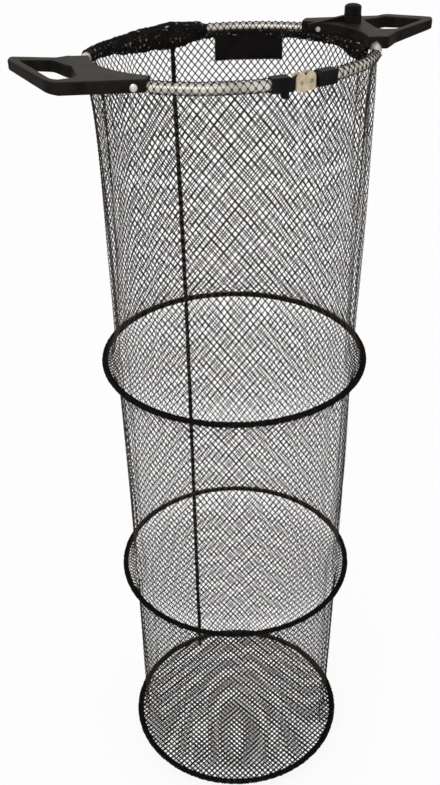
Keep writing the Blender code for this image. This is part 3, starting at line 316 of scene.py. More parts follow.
# %% Metals
ring_metal = finish("ring tube aluminium", (0.42, 0.40, 0.36), (0.70, 0.67, 0.61), 0.42, metallic=1.0,
                    scale=40, bump=0.15, bump_scale=900)
rivet_steel = finish("rivet steel", (0.50, 0.48, 0.43), (0.76, 0.73, 0.66), 0.34, metallic=1.0,
                     scale=300, bump=0.08)
pin_steel = finish("hinge pin steel", (0.20, 0.16, 0.11), (0.36, 0.29, 0.20), 0.50, metallic=0.7,
                   scale=300, bump=0.10)
# painted shade: the ferrules are coloured near black, as they lie in the shade of the whipping wound over
# them
ferrule_in_painted_shade = finish("ferrule steel in painted shade", (0.010, 0.010, 0.011), (0.030, 0.029, 0.028), 0.55,
                       metallic=0.6, scale=200, bump=0.10)
insert_brass = finish("insert brass", (0.55, 0.36, 0.12), (0.78, 0.56, 0.24), 0.30, metallic=1.0,
                      scale=200, stretch=(1, 1, 6), bump=0.2)
metals = (ring_metal, rivet_steel, pin_steel, ferrule_in_painted_shade, insert_brass)
print("metals:", ", ".join(metal.name for metal in metals))


# %% [markdown]
# The handles are moulded in a very dark brown plastic. Their upper faces get a painted sheen, a lighter
# brown where the light falls, and the sides stay nearly black. The tops could be picked out face by face,
# but the surface's own upward direction finds them in one step, and fades the painted sheen over each
# rounded edge.

# %% Moulded plastics
SHEEN_FROM, SHEEN_TO = 0.35, 0.95     # how far a face looks up where the painted sheen starts, and where it is full
SHEEN_PATCH_SCALE = 38


def painted_top_sheen(made, tone):
    """Mixes a painted sheen, a lighter brown, into the faces that point up."""
    tree, place, _ = parts_of(made)
    split = add_node(tree, "ShaderNodeSeparateXYZ", {0: place["Normal"]})
    upward = add_node(tree, "ShaderNodeMapRange", {
        "Value": split.outputs["Z"], "From Min": SHEEN_FROM, "From Max": SHEEN_TO})
    sheen_patches = add_node(tree, "ShaderNodeTexNoise", {
        "Vector": place["Object"], "Scale": SHEEN_PATCH_SCALE, "Detail": 5})
    mix_over(made, worked_out(tree, "MULTIPLY", upward.outputs["Result"], sheen_patches.outputs["Fac"]), tone)


handle_plastic = finish("handle plastic", (0.0050, 0.0040, 0.0032), (0.0110, 0.0088, 0.0068), 0.48,
                        scale=70, bump=0.25, bump_scale=1400, gloss=0.055)
# painted sheen: the handles' upper faces are mixed towards this lighter brown
painted_top_sheen(handle_plastic, (0.030, 0.020, 0.012))
socket_plastic = finish("socket plastic", (0.0016, 0.0015, 0.0014), (0.0065, 0.0060, 0.0052), 0.52,
                        scale=90, bump=0.4, bump_scale=900, gloss=0.07)
link_plastic = finish("link plastic", (0.42, 0.335, 0.225), (0.60, 0.50, 0.36), 0.50, scale=120,
                      bump=0.2, gloss=0.30)
rod_plastic = finish("hoop rod plastic", (0.003, 0.003, 0.003), (0.008, 0.008, 0.007), 0.60, scale=80,
                     gloss=0.15)
plastics = (handle_plastic, socket_plastic, link_plastic, rod_plastic)
print("plastics:", ", ".join(plastic.name for plastic in plastics))


# %% [markdown]
# The label is a plain woven patch with an overlocked edge. Its threads are far too fine to model one by
# one. Two crossed waves, warp and weft, raise a coarse weave as a bump on the flat cloth.

# %% Label cloth
WEAVE_SCALE = 80               # about 250 ribs to the metre
WEAVE_DEPTH = 0.15 * MM


def weave(made):
    """Replaces a finish's bump by a plain weave."""
    tree, place, _ = parts_of(made)
    ribs = []
    for axis in ("X", "Z"):
        wave = add_node(tree, "ShaderNodeTexWave", {"Vector": place["Object"], "Scale": WEAVE_SCALE})
        wave.bands_direction = axis
        ribs.append(wave.outputs["Fac"])
    relief = next(node for node in tree.nodes if node.type == "BUMP")
    fill(tree, relief, {"Height": worked_out(tree, "MAXIMUM", *ribs), "Distance": WEAVE_DEPTH})


label_cloth = finish("label cloth", (0.0022, 0.0015, 0.0015), (0.0065, 0.0042, 0.0042), 0.84, scale=60,
                     bump=0.6, gloss=0.10)
label_thread = finish("label edge thread", (0.0100, 0.0090, 0.0085), (0.0420, 0.0370, 0.0340), 0.80,
                      scale=900, bump=0.8, bump_scale=2400, gloss=0.12)
weave(label_cloth)
print("label:", label_cloth.name, "and", label_thread.name)


# %% [markdown]
# Netting repeats one small thing many thousand times. Placing each strand from the script would be slow,
# and an image of a net would be flat. So Geometry Nodes make it: the script lays out only the knots and
# the lines between them, and the tree turns each line into a strand, puts a knot on each crossing, and
# makes the lot real. Its result is then kept as a plain mesh.

# %% Helpers for Geometry Nodes
def new_tree(name, sizes):
    """A Geometry Nodes tree with a geometry input, named size inputs and a material input."""
    tree = bpy.data.node_groups.new(name, "GeometryNodeTree")
    tree.interface.new_socket("Geometry", in_out="INPUT", socket_type="NodeSocketGeometry")
    for label, value in sizes.items():
        kind = "NodeSocketInt" if isinstance(value, int) else "NodeSocketFloat"
        socket = tree.interface.new_socket(label, in_out="INPUT", socket_type=kind)
        socket.default_value = value
    tree.interface.new_socket("Material", in_out="INPUT", socket_type="NodeSocketMaterial")
    tree.interface.new_socket("Geometry", in_out="OUTPUT", socket_type="NodeSocketGeometry")
    return tree, tree.nodes.new("NodeGroupInput"), tree.nodes.new("NodeGroupOutput")


def end_tree(tree, start, end, geometry):
    """Closes a tree: instances made real, shaded smooth, with its material."""
    real = add_node(tree, "GeometryNodeRealizeInstances", {0: geometry})
    smooth = add_node(tree, "GeometryNodeSetShadeSmooth", {"Geometry": real.outputs[0]})
    coated = add_node(tree, "GeometryNodeSetMaterial", {
        "Geometry": smooth.outputs[0], "Material": start.outputs["Material"]})
    tree.links.new(coated.outputs[0], end.inputs[0])


def tube_along(tree, curve, width, sides, squeeze=None):
    """Runs a tube of some width along a curve: round, or squeezed flat."""
    ring = add_node(tree, "GeometryNodeCurvePrimitiveCircle", {
        "Resolution": sides, "Radius": worked_out(tree, "MULTIPLY", width, 0.5)})
    profile = ring.outputs[0]
    if squeeze is not None:
        pressed = add_node(tree, "GeometryNodeTransform", {"Geometry": profile, "Scale": squeeze})
        profile = pressed.outputs[0]
    return add_node(tree, "GeometryNodeCurveToMesh", {"Curve": curve, "Profile Curve": profile}).outputs[0]


def object_of(name, mesh):
    """Puts a mesh in the scene, at the origin."""
    made = bpy.data.objects.new(name, mesh)
    scene.collection.objects.link(made)
    return made


def grown(name, base_mesh, tree, sizes, material):
    """Runs a tree on a base mesh and keeps the result as a plain mesh object."""
    source = object_of(f"{name}_base", base_mesh)
    modifier = source.modifiers.new(tree.name, "NODES")
    modifier.node_group = tree
    sockets = {item.name: item.identifier for item in tree.interface.items_tree if item.in_out == "INPUT"}
    for label, value in sizes.items():
        modifier[sockets[label]] = value
    modifier[sockets["Material"]] = material
    bpy.context.view_layer.update()
    evaluated = source.evaluated_get(bpy.context.evaluated_depsgraph_get())
    mesh = bpy.data.meshes.new_from_object(evaluated)
    mesh.name = name
    source.modifiers.remove(modifier)
    bpy.data.objects.remove(source)
    made = object_of(name, mesh)
    print(f"{name}: {sum(len(face.vertices) - 2 for face in mesh.polygons)} triangles")
    return made


print("helpers: new_tree, end_tree, tube_along, object_of, grown")


# %% [markdown]
# Knitted strands are flat tapes, and each crossing is a small firm knot. Round strands would be simpler,
# but seen edge on, at the sides of the net, they close into a solid band. So the tree can press its
# strands flat: from the side where the net hangs upright, and from above where it lies level.

# %% The netting tree
STRAND_SIDES = 4
KNOT_SIDES, KNOT_RINGS = 4, 2


def netting_tree():
    """The two shares press a strand flat: level shares its sideways size, upright its other one."""
    sizes = {"Strand width": 1.1 * MM, "Knot size": 2.0 * MM, "Level share": 1.0, "Upright share": 1.0}
    tree, start, end = new_tree("netting", sizes)
    given = start.outputs
    lines = add_node(tree, "GeometryNodeMeshToCurve", {"Mesh": given["Geometry"]})
    level = add_node(tree, "GeometryNodeSetCurveNormal", {"Curve": lines.outputs[0]})
    level.mode = "Z_UP"
    shares = add_node(tree, "ShaderNodeCombineXYZ", {
        "X": given["Level share"], "Y": given["Upright share"], "Z": 1})
    strands = tube_along(tree, level.outputs[0], given["Strand width"], STRAND_SIDES, shares.outputs[0])
    bead = add_node(tree, "GeometryNodeMeshUVSphere", {
        "Segments": KNOT_SIDES, "Rings": KNOT_RINGS,
        "Radius": worked_out(tree, "MULTIPLY", given["Knot size"], 0.5)})
    knots = add_node(tree, "GeometryNodeInstanceOnPoints", {
        "Points": given["Geometry"], "Instance": bead.outputs["Mesh"]})
    joined = add_node(tree, "GeometryNodeJoinGeometry")
    tree.links.new(strands, joined.inputs[0])
    tree.links.new(knots.outputs[0], joined.inputs[0])
    end_tree(tree, start, end, joined.outputs[0])
    return tree


NETTING = netting_tree()
print("netting tree:", len(NETTING.nodes), "nodes")


# %% [markdown]
# The net hangs from an oval ring and passes three round hoops. Its surface could be a mesh of its own,
# with the netting laid on it. But a few formulas say where it is from an angle round the net and a
# height, so that each knot can ask for its place. The net is narrower than its hoops, and opens out only
# in the last centimetres before each.

# %% The net's plain shape
RING_LENGTH, RING_WIDTH = 0.192, 0.140     # half the ring each way, to the middle of its tube
HOOP_RADIUS = 0.200
HOOP_HEIGHTS = (-0.432, -0.854, -1.265)
NET_RADIUS = 0.1835
HEM_HALF = 4 * MM              # the hem on a hoop, and how fast the net draws in beyond it
FLARE = 11 * MM
HINGE_BEARING = math.radians(108)
REAR_HINGE = math.atan2(RING_LENGTH * math.sin(HINGE_BEARING), RING_WIDTH * math.cos(HINGE_BEARING))
FRONT_HINGE = REAR_HINGE - math.pi
SEAM_ON_HOOPS = math.radians(98)


def round_share(height):
    """0 at the oval ring, and 1 from the first hoop down, where the net is round."""
    return min(1.0, height / HOOP_HEIGHTS[0])


def oval(angle, height, radius):
    """Oval at the ring, round by the first hoop."""
    share = round_share(height)
    long_way = RING_LENGTH + (radius - RING_LENGTH) * share
    short_way = RING_WIDTH + (radius - RING_WIDTH) * share
    return Vector((long_way * math.cos(angle), short_way * math.sin(angle), height))


def with_seam(angle, height):
    """The net turns a little on its way down, as its seam shows."""
    return angle + (SEAM_ON_HOOPS - REAR_HINGE) * round_share(height)


def net_radius(height):
    """The net's radius, wide at the hoops and narrow between them."""
    nearest = min(abs(height - hoop) for hoop in HOOP_HEIGHTS)
    return NET_RADIUS + (HOOP_RADIUS - NET_RADIUS) * math.exp(-max(0.0, nearest - HEM_HALF) / FLARE)


print("net radius halfway down a section, mm:", round(net_radius(-0.64) / MM, 1))


# %% [markdown]
# A net that hung as a perfect tube would look like wire. Real mesh has slack: it ripples, it folds where
# it is bunched on the ring, and it falls in below the left handle. A cloth simulation would give all
# three by chance. As terms of the formula, each can be set to the photo, and made to die out where the
# net is held: at the ring and the hoops, and the ripples beside the seam too.

# %% Folds, pleats and slack
FOLDS = (
    # angle round the net, width, depth, how far down the fold runs, and how close its mesh is drawn
    (math.radians(152), 0.09, 12 * MM, 0.36, 1.5),
    (math.radians(8), 0.08, 7 * MM, 0.40, 0.8),
    (math.radians(-28), 0.06, 4 * MM, 0.25, 0.5),
    (math.radians(205), 0.06, 5 * MM, 0.22, 0.6),
)
FOLD_START = 0.02              # a fold is full this far below the ring
LEFT_PINCH_AT = math.radians(172)
LEFT_PINCH, LEFT_PINCH_WIDTH = 9 * MM, 0.8
PINCH_RISE = 0.7               # under 1, the pinch is deepest nearer the ring than the hoop
RIPPLE, RIPPLE_RATES = 3.0 * MM, (2.2, 3.5)      # the rates are round the net, and down it per metre
PLEAT, PLEAT_RATES = 6 * MM, (7.5, 2.6)
PLEAT_DRAW_SHARE = 0.22        # pleats draw the net in more than they let it out
SPREAD_AT, SIDE_SPREAD = math.radians(-18), 0.07     # the mesh is drawn wider at the handles
SPREAD_TRIES = 8               # enough for `before_spread` to settle
HELD_REACH = 0.05              # the ripples grow to their full size over this much height
HELD_BY_SEAM = 0.10            # and over about this angle from the seam


def turned_from(angle, centre):
    """How far an angle lies from another, by the shorter way round."""
    return (angle - centre + math.pi) % (2 * math.pi) - math.pi


def wander(angle, height, rates):
    """Smooth noise that meets itself round the net."""
    around, down = rates
    return noise.noise(Vector((math.cos(angle) * around, math.sin(angle) * around, height * down)))


def before_spread(angle):
    """The angle that the mesh's sideways spread carries to the given one."""
    found = angle
    for _ in range(SPREAD_TRIES):
        found = angle + SIDE_SPREAD * math.sin(2 * (found - SPREAD_AT))
    return found


def net_point(angle, height, stand_off=0.0):
    """A point of the net's surface, with its slack, ripples and folds."""
    for centre, width, depth, reach, close in FOLDS:
        away = turned_from(angle, centre)
        near = math.exp(-(away / width) ** 2) * max(0.0, 1 + height / reach)
        near *= min(1.0, -height / FOLD_START)
        angle -= close * away * near
        stand_off -= depth * near
    pinched = math.exp(-(turned_from(angle, LEFT_PINCH_AT) / LEFT_PINCH_WIDTH) ** 2)
    stand_off -= LEFT_PINCH * pinched * math.sin(math.pi * round_share(height) ** PINCH_RISE)
    pleats = wander(angle, height, PLEAT_RATES)
    angle -= SIDE_SPREAD * math.sin(2 * (angle - SPREAD_AT))
    free = min(1.0, min(abs(height - hoop) for hoop in HOOP_HEIGHTS) / HELD_REACH, -height / HELD_REACH)
    free *= 1 - math.exp(-(turned_from(angle, REAR_HINGE) / HELD_BY_SEAM) ** 2)
    slack = free * (RIPPLE * wander(angle, height, RIPPLE_RATES) + PLEAT * (pleats - PLEAT_DRAW_SHARE))
    point = oval(with_seam(angle, height), height, net_radius(height))
    outward = Vector((point.x, point.y, 0)).normalized()
    return point + outward * (slack + stand_off)


print("deepest fold, mm:", round(max(depth for _, _, depth, _, _ in FOLDS) / MM))


# %% [markdown]
# Knitted mesh hangs in diamonds taller than they are wide, because the net's weight draws them down.
# Crossed diagonal lines would make diamonds too, but would have no knots to bend at. `lattice` lays out
# the knots instead: each row is half a cell on from the row above, and each knot joins the two below it.

# %% Diamond lattices
COLUMNS = 132
ROW_DROPS = (6.2 * MM, 6.8 * MM, 7.2 * MM)     # half a cell's height, from the top section down
STRANDS = (1.55 * MM, 1.55 * MM, 1.8 * MM)     # and the width of its strands
KNOT_SHARE = 1.35
FLAT_SHARE = 0.32              # a tape's thickness, as a share of its width


def diamond_edges(index, columns=None):
    """Joins each knot to the two below it. A net that closes on itself gives its number of columns."""
    edges = []
    for (row, column), knot in index.items():
        side = 0 if row % 2 else -1
        for step in (side, side + 1):
            other = (column + step) % columns if columns else column + step
            if (row + 1, other) in index:
                edges.append((knot, index[(row + 1, other)]))
    return edges


def edge_mesh(name, knots, edges):
    """A mesh of loose edges."""
    mesh = bpy.data.meshes.new(name)
    mesh.from_pydata(knots, edges, [])
    return mesh


def lattice(columns, rows, place, closed):
    """Diamonds with columns across and rows down, each knot at place(u, v)."""
    knots, index = [], {}
    for row in range(rows + 1):
        for column in range(columns + (0 if closed else 1)):
            across = column + (0.5 if row % 2 else 0.0)
            if across <= columns or closed:
                index[(row, column)] = len(knots)
                knots.append(place(across / columns, row / rows))
    return edge_mesh("lattice", knots, diamond_edges(index, columns if closed else None))


def rows_between(top, foot, drop):
    """An even number of rows, so that a net ends as it starts."""
    count = round((top - foot) / drop)
    return count + count % 2


print("cells round the net:", COLUMNS, "each", round(2 * math.pi * NET_RADIUS / COLUMNS / MM, 1), "mm wide")


# %% [markdown]
# The top of the net is two strips, one on each half of the ring, that meet at the hinges.

# %% Mouth netting
MOUTH_TOP = -6 * MM
MOUTH_FOOT = -0.110
MESH_FRONT = before_spread(FRONT_HINGE)


def net_strip(name, start, sweep, top, foot, columns, closed, drop=ROW_DROPS[0], strand=STRANDS[0]):
    """Netting on the net's surface, from an angle round it and between two heights."""
    def place(u, v):
        return net_point(start + sweep * u, top + (foot - top) * v)

    mesh = lattice(columns, rows_between(top, foot, drop), place, closed)
    sizes = {"Strand width": strand, "Knot size": strand * KNOT_SHARE, "Level share": FLAT_SHARE}
    return grown(name, mesh, NETTING, sizes, net_yarn)


to_right = Vector((math.sin(HINGE_BEARING), -math.cos(HINGE_BEARING), 0))
for side, start, away in (("right", MESH_FRONT, to_right), ("left", MESH_FRONT + math.pi, -to_right)):
    strip = net_strip(f"mouth_netting_{side}", start, math.pi, MOUTH_TOP, MOUTH_FOOT, COLUMNS // 2, False)
    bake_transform(strip)
    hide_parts(f"net_mouth_{side}")


# %% [markdown]
# Below the strips come three sections, one above each hoop. When the hoops are lifted the real mesh
# gathers in loose folds. Folding every cell would need a simulation for each pose, so a section simply
# hangs from the body above it.

# %% Netting sections
SECTION_EDGE = 5.5 * MM
SECTION_BODIES = ("hinge_links", "upper_hoop", "middle_hoop")


def gather(piece, number, top, foot):
    """Hangs a piece from the body above it, with a mesh of its own."""
    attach(piece, SECTION_BODIES[number])
    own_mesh(piece)


section_tops = (MOUTH_FOOT, HOOP_HEIGHTS[0] - SECTION_EDGE, HOOP_HEIGHTS[1] - SECTION_EDGE)
for number, top in enumerate(section_tops):
    foot = HOOP_HEIGHTS[number] + SECTION_EDGE
    section = net_strip(f"netting_{number + 1}", MESH_FRONT, 2 * math.pi, top, foot, COLUMNS, True,
                        ROW_DROPS[number], STRANDS[number])
    gather(section, number, top, foot)
    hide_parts(f"net_section_{number + 1}")


# %% [markdown]
# The base is one disc of the same mesh, laced to the bottom hoop. A disc of rings and spokes would crowd
# its cells in the middle, and the real mesh runs straight across. So a straight lattice is cut to the
# circle, and knots just beyond the rim are drawn in to it.

# %% Base netting
BASE_CELL = (11.0 * MM, 12.0 * MM)
BASE_RIM = HOOP_RADIUS - 4.0 * MM
BASE_TURN = math.radians(-18)
BASE_STRAND = 3.05 * MM
BASE_KNOT_SHARE = 1.25
BASE_SAG = 3 * MM
SHORTEST_EDGE = 1 * MM         # knots drawn in to the same place at the rim are not joined

base_knots, base_index = [], {}
reach = math.ceil(BASE_RIM / min(BASE_CELL)) + 1
for row in range(-2 * reach, 2 * reach + 1):
    for column in range(-reach, reach + 1):
        x = (column + (0.5 if row % 2 else 0)) * BASE_CELL[0]
        y = row / 2 * BASE_CELL[1]
        far = math.hypot(x, y)
        if far > BASE_RIM + BASE_CELL[0] / 2:
            continue
        pull = min(1.0, BASE_RIM / far) if far else 1.0
        sag = BASE_SAG * (1 - (min(far, BASE_RIM) / BASE_RIM) ** 2)
        place = Vector((x * pull, y * pull, HOOP_HEIGHTS[2] - sag))
        base_index[(row, column)] = len(base_knots)
        base_knots.append(Matrix.Rotation(BASE_TURN, 3, "Z") @ place)
base_edges = [(knot, below) for knot, below in diamond_edges(base_index)
              if (base_knots[knot] - base_knots[below]).length > SHORTEST_EDGE]
base = grown("base_netting", edge_mesh("base lattice", base_knots, base_edges), NETTING, {
    "Strand width": BASE_STRAND, "Knot size": BASE_STRAND * BASE_KNOT_SHARE,
    "Upright share": FLAT_SHARE}, net_yarn)
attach(base, "base_hoop")
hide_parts("base_net")


# %% [markdown]
# Cord is wound tightly round the net's hem on each hoop, and round the seam. A bumpy tube would pass for
# it from afar, but up close a whipping is a row of turns that lie side by side, each a little uneven.
# The tree puts one small loop of cord on every stop of a path, turned to the path's direction, with a
# tilt and a size that are random but the same each run.

# %% The whipping tree
LOOP_SIDES = 10
CORD_SIDES = 4
LOOP_TILT = (0.30, 0.30, 3.14)     # the most that a loop leans each way, and turns about the path


def whipping_tree():
    """One loop of cord on every stop of a path."""
    sizes = {"Radius": 4.0 * MM, "Cord width": 1.8 * MM, "Spacing": 1.7 * MM, "Unevenness": 0.10, "Seed": 1}
    tree, start, end = new_tree("whipping", sizes)
    given = start.outputs
    path = add_node(tree, "GeometryNodeMeshToCurve", {"Mesh": given["Geometry"]})
    stops = tree.nodes.new("GeometryNodeCurveToPoints")
    stops.mode = "LENGTH"
    fill(tree, stops, {"Curve": path.outputs[0], "Length": given["Spacing"]})
    loop = add_node(tree, "GeometryNodeCurvePrimitiveCircle", {
        "Resolution": LOOP_SIDES, "Radius": given["Radius"]})
    turns = add_node(tree, "GeometryNodeInstanceOnPoints", {
        "Points": stops.outputs["Points"], "Rotation": stops.outputs["Rotation"],
        "Instance": tube_along(tree, loop.outputs[0], given["Cord width"], CORD_SIDES)})
    tilt = tree.nodes.new("FunctionNodeRandomValue")
    tilt.data_type = "FLOAT_VECTOR"
    fill(tree, tilt, {0: [-most for most in LOOP_TILT], 1: LOOP_TILT, "Seed": given["Seed"]})
    leaning = add_node(tree, "GeometryNodeRotateInstances", {
        "Instances": turns.outputs[0], "Rotation": tilt.outputs[0]})
    size = add_node(tree, "FunctionNodeRandomValue", {
        2: worked_out(tree, "SUBTRACT", 1.0, given["Unevenness"]),
        3: worked_out(tree, "ADD", 1.0, given["Unevenness"]), "Seed": given["Seed"]})
    scaled = add_node(tree, "GeometryNodeScaleInstances", {
        "Instances": leaning.outputs[0], "Scale": size.outputs[1]})
    end_tree(tree, start, end, scaled.outputs[0])
    return tree


def path_mesh(points, closed=False):
    """A mesh of loose edges along a path."""
    edges = list(zip(range(len(points) - 1), range(1, len(points))))
    return edge_mesh("path", points, edges + ([(len(points) - 1, 0)] if closed else []))


WHIPPING = whipping_tree()
print("whipping tree:", len(WHIPPING.nodes), "nodes")


# %% [markdown]
# Three hoops hold the net open. On each, the mesh is folded over a plastic rod and whipped with cord.
# The rod is hidden, so only the whipping is made, along a circle. The lower hoop is stouter than the
# other two, and so are its turns.

# %% Whipped hoops
HOOP_POINTS = 160
TURN_SHARE = 0.72              # turns stand closer than the cord is wide, as cord wound tightly does
HOOPS = (("upper_hoop", 3.9 * MM, 1.8 * MM), ("middle_hoop", 3.9 * MM, 1.8 * MM),
         ("base_hoop", 4.8 * MM, 2.0 * MM))


def circle_points(radius, height):
    """Points round a level circle."""
    angles = [2 * math.pi * i / HOOP_POINTS for i in range(HOOP_POINTS)]
    return [Vector((radius * math.cos(angle), radius * math.sin(angle), height)) for angle in angles]


for number, (hoop, radius, cord) in enumerate(HOOPS):
    path = path_mesh(circle_points(HOOP_RADIUS, HOOP_HEIGHTS[number]), closed=True)
    sizes = {"Radius": radius, "Cord width": cord, "Spacing": cord * TURN_SHARE, "Seed": number + 3}
    whipping = grown(f"{hoop}_whipping", path, WHIPPING, sizes, black_cord)
    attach(whipping, hoop)
    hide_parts(f"{hoop}_binding")


# %% [markdown]
# A thick cord closes the net's only seam. It starts at the rear hinge, leans a little as the oval ring
# turns into round hoops, and then runs straight down. One long piece could not pack up with the hoops,
# so it is cut at each, and each length hangs from the body above it.

# %% Seam cord
SEAM_RADIUS = 2.4 * MM
SEAM_STAND_OFF = -2.6 * MM
SEAM_TOP = -9 * MM
SEAM_STEPS = 60
SEAM_SWAY, SEAM_SWAY_RATE = 1.2 * MM, 14
SEAM_SWAY_PLACE = 5            # where in the noise the sway is read
SEAM_SIZES = {"Radius": SEAM_RADIUS, "Cord width": 2.0 * MM, "Spacing": 1.2 * MM, "Unevenness": 0.20}


def seam_point(height):
    """The seam keeps the net's narrow radius, so it runs straight past the hoops on their inside."""
    point = oval(with_seam(REAR_HINGE, height), height, NET_RADIUS)
    sway = SEAM_SWAY * noise.noise(Vector((0, SEAM_SWAY_PLACE, height * SEAM_SWAY_RATE)))
    return point + Vector((point.x, point.y, 0)).normalized() * SEAM_STAND_OFF + Vector((sway, 0, 0))


def seam_piece(name, top, foot, seed):
    """One length of the seam."""
    heights = [top + (foot - top) * i / SEAM_STEPS for i in range(SEAM_STEPS + 1)]
    path = path_mesh([seam_point(height) for height in heights])
    piece = grown(name, path, WHIPPING, {**SEAM_SIZES, "Seed": seed}, black_cord)
    return piece


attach(seam_piece("seam_mouth", SEAM_TOP, MOUTH_FOOT, 10), "hinge_links")
for number, top in enumerate((MOUTH_FOOT, HOOP_HEIGHTS[0], HOOP_HEIGHTS[1])):
    foot = HOOP_HEIGHTS[number]
    seam = seam_piece(f"seam_{number + 1}", top, foot, number + 11)
    gather(seam, number, top, foot)
    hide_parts(f"seam_cord_{number + 1}")


# %% [markdown]
# The tube, its sleeve of mesh, the gathered borders and the label all follow the ring. A curve object
# could carry them, but the script also has to know where a hinge, an arm or a socket ends along it. So
# the ring is a formula too: a point and its outward direction from an angle, and an angle from a
# distance walked along the ring.

# %% Along the ring
RING_STEPS = 720
SPAN_STEPS = 200
TUBE_SEAT = 22.3 * MM          # the tube sits in its socket, this far from the hinge's middle
SOCKET_END = 44.3 * MM
ARM_REACH = 118 * MM           # the handle's long arm and its short end, from the ring's right end
SHORT_REACH = 22 * MM


def ring_point(angle):
    """A point of the ring's centre line."""
    return Vector((RING_LENGTH * math.cos(angle), RING_WIDTH * math.sin(angle), 0))


def ring_outward(angle):
    """The direction away from the ring's middle, square to its line."""
    return Vector((RING_WIDTH * math.cos(angle), RING_LENGTH * math.sin(angle), 0)).normalized()


def ring_speed(angle):
    """The distance along the ring for each radian of the angle."""
    return math.hypot(RING_LENGTH * math.sin(angle), RING_WIDTH * math.cos(angle))


def walk(angle, distance):
    """The angle reached after a distance along the ring."""
    for _ in range(RING_STEPS):
        angle += distance / RING_STEPS / ring_speed(angle)
    return angle


def ring_span(start, end):
    """The distance along the ring between two angles."""
    angles = [start + (end - start) * (i + 0.5) / SPAN_STEPS for i in range(SPAN_STEPS)]
    step = abs(end - start) / SPAN_STEPS
    return sum(ring_speed(angle) * step for angle in angles)


def beside_ring(angle, around, radius):
    """A point on a tube round the ring: around is 0 on the outside and a quarter turn at the top."""
    outward, upward = radius * math.cos(around), radius * math.sin(around)
    return ring_point(angle) + ring_outward(angle) * outward + UP * upward


def half_turned(mesh):
    """The left half of the ring is the right half turned about the centre."""
    copy = mesh.copy()
    copy.transform(Matrix.Rotation(math.pi, 4, "Z"))
    return copy


TUBE_START, TUBE_END = walk(FRONT_HINGE, TUBE_SEAT), walk(REAR_HINGE, -TUBE_SEAT)
ARM_END, SHORT_END = walk(0, ARM_REACH), walk(0, -SHORT_REACH)
print("tube between handle and hinge on each half, mm:", round(ring_span(ARM_END, TUBE_END) / MM), "and",
      round(ring_span(TUBE_START, SHORT_END) / MM))


# %% [markdown]
# Each half of the ring is one bent aluminium tube. The engineering model's tube has flat facets that
# would show in its highlights. A curve with a bevel would smooth them, but has no wall at its open ends.
# So a finer round section is swept along the half oval, outside and bore, and joined at both ends.

# %% Ring tubes
TUBE_RADIUS = 6.0 * MM
TUBE_BORE = 4.8 * MM
TUBE_SIDES = 28
TUBE_STEPS = 90
SHARP_EDGE = math.radians(40)


def bridge(shape, first, second):
    """Faces between two loops of as many points."""
    for i in range(len(first)):
        j = (i + 1) % len(first)
        shape.faces.new((first[i], first[j], second[j], second[i]))


def swept_tube(name, angles):
    """An open round tube with a wall, along the ring."""
    shape = bmesh.new()
    walls = [[[shape.verts.new(beside_ring(angle, 2 * math.pi * i / TUBE_SIDES, size))
               for i in range(TUBE_SIDES)] for angle in angles] for size in (TUBE_RADIUS, TUBE_BORE)]
    for rings in walls:
        for first, second in zip(rings, rings[1:]):
            bridge(shape, first, second)
    for end in (0, -1):
        bridge(shape, walls[0][end], walls[1][end])
    bmesh.ops.recalc_face_normals(shape, faces=shape.faces)
    mesh = bpy.data.meshes.new(name)
    shape.to_mesh(mesh)
    shape.free()
    mesh.shade_smooth()
    mesh.set_sharp_from_angle(angle=SHARP_EDGE)
    return mesh


tube_angles = [TUBE_START + (TUBE_END - TUBE_START) * i / TUBE_STEPS for i in range(TUBE_STEPS + 1)]
tube_mesh = swept_tube("ring tube", tube_angles)
tube_mesh.materials.append(ring_metal)
for side, mesh in (("right", tube_mesh), ("left", half_turned(tube_mesh))):
    tube = object_of(f"ring_tube_{side}", mesh)
    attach(tube, f"{side}_half")
    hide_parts(f"{side}_tube")
print("ring tubes, faces each:", len(tube_mesh.polygons))


# %% [markdown]
# The net's top edge is rolled over the tube as an open sleeve, so the bright metal shines through its
# diamonds. A pattern on the tube could draw them, but would lie flat on it. This is the net's own
# lattice, rolled close round the tube.

# %% Mesh sleeves on the tube
SLEEVE_CELL = 9.0 * MM
SLEEVE_ROWS = 6
SLEEVE_RADIUS = 6.7 * MM
SLEEVE_GAP = 0.003             # the angle left free beside the arm
BARE_TUBE = 44 * MM            # no sleeve this near the short end
SLEEVE_SIZES = {"Strand width": 1.6 * MM, "Knot size": 2.9 * MM}


def sleeve_mesh(start, end):
    """The lattice rolled round the tube between two angles."""
    def place(u, v):
        return beside_ring(start + (end - start) * u, 2 * math.pi * v, SLEEVE_RADIUS)

    return lattice(round(ring_span(start, end) / SLEEVE_CELL), SLEEVE_ROWS, place, False)


sleeves = (("rear_right", ARM_END + SLEEVE_GAP, walk(REAR_HINGE, -SOCKET_END)),
           ("front_right", walk(FRONT_HINGE, SOCKET_END), walk(SHORT_END, -BARE_TUBE)))
opposite = {"rear_right": "front_left", "front_right": "rear_left"}
for name, start, end in sleeves:
    sleeve = grown(f"{name}_mesh_sleeve", sleeve_mesh(start, end), NETTING, SLEEVE_SIZES, sleeve_yarn)
    other = object_of(f"{opposite[name]}_mesh_sleeve", half_turned(sleeve.data))
    for piece, half, node in ((sleeve, "right_half", name), (other, "left_half", opposite[name])):
        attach(piece, half)
        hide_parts(f"{node}_sleeve")


# %% [markdown]
# At the rear the border of the net is gathered into a thick dark band. A lumpy solid would be quick to
# make, but gathered mesh is mesh all the same, and the tube glints through it here and there. So the
# band is a much closer lattice on a lumpy surface, whose width, top and foot change along the ring.

# %% Gathered mesh
BORDER_CELL = 3.2 * MM
BORDER_KNOT_SHARE = 1.4
LUMPS, LUMP_RATES = 1.2 * MM, (45, 1.6)     # the rates are along the ring and round the band
RAGGED, RAGGED_RATE = 2.2 * MM, 70
RAGGED_PLACE = 7.7             # where in the noise the ragged foot is read


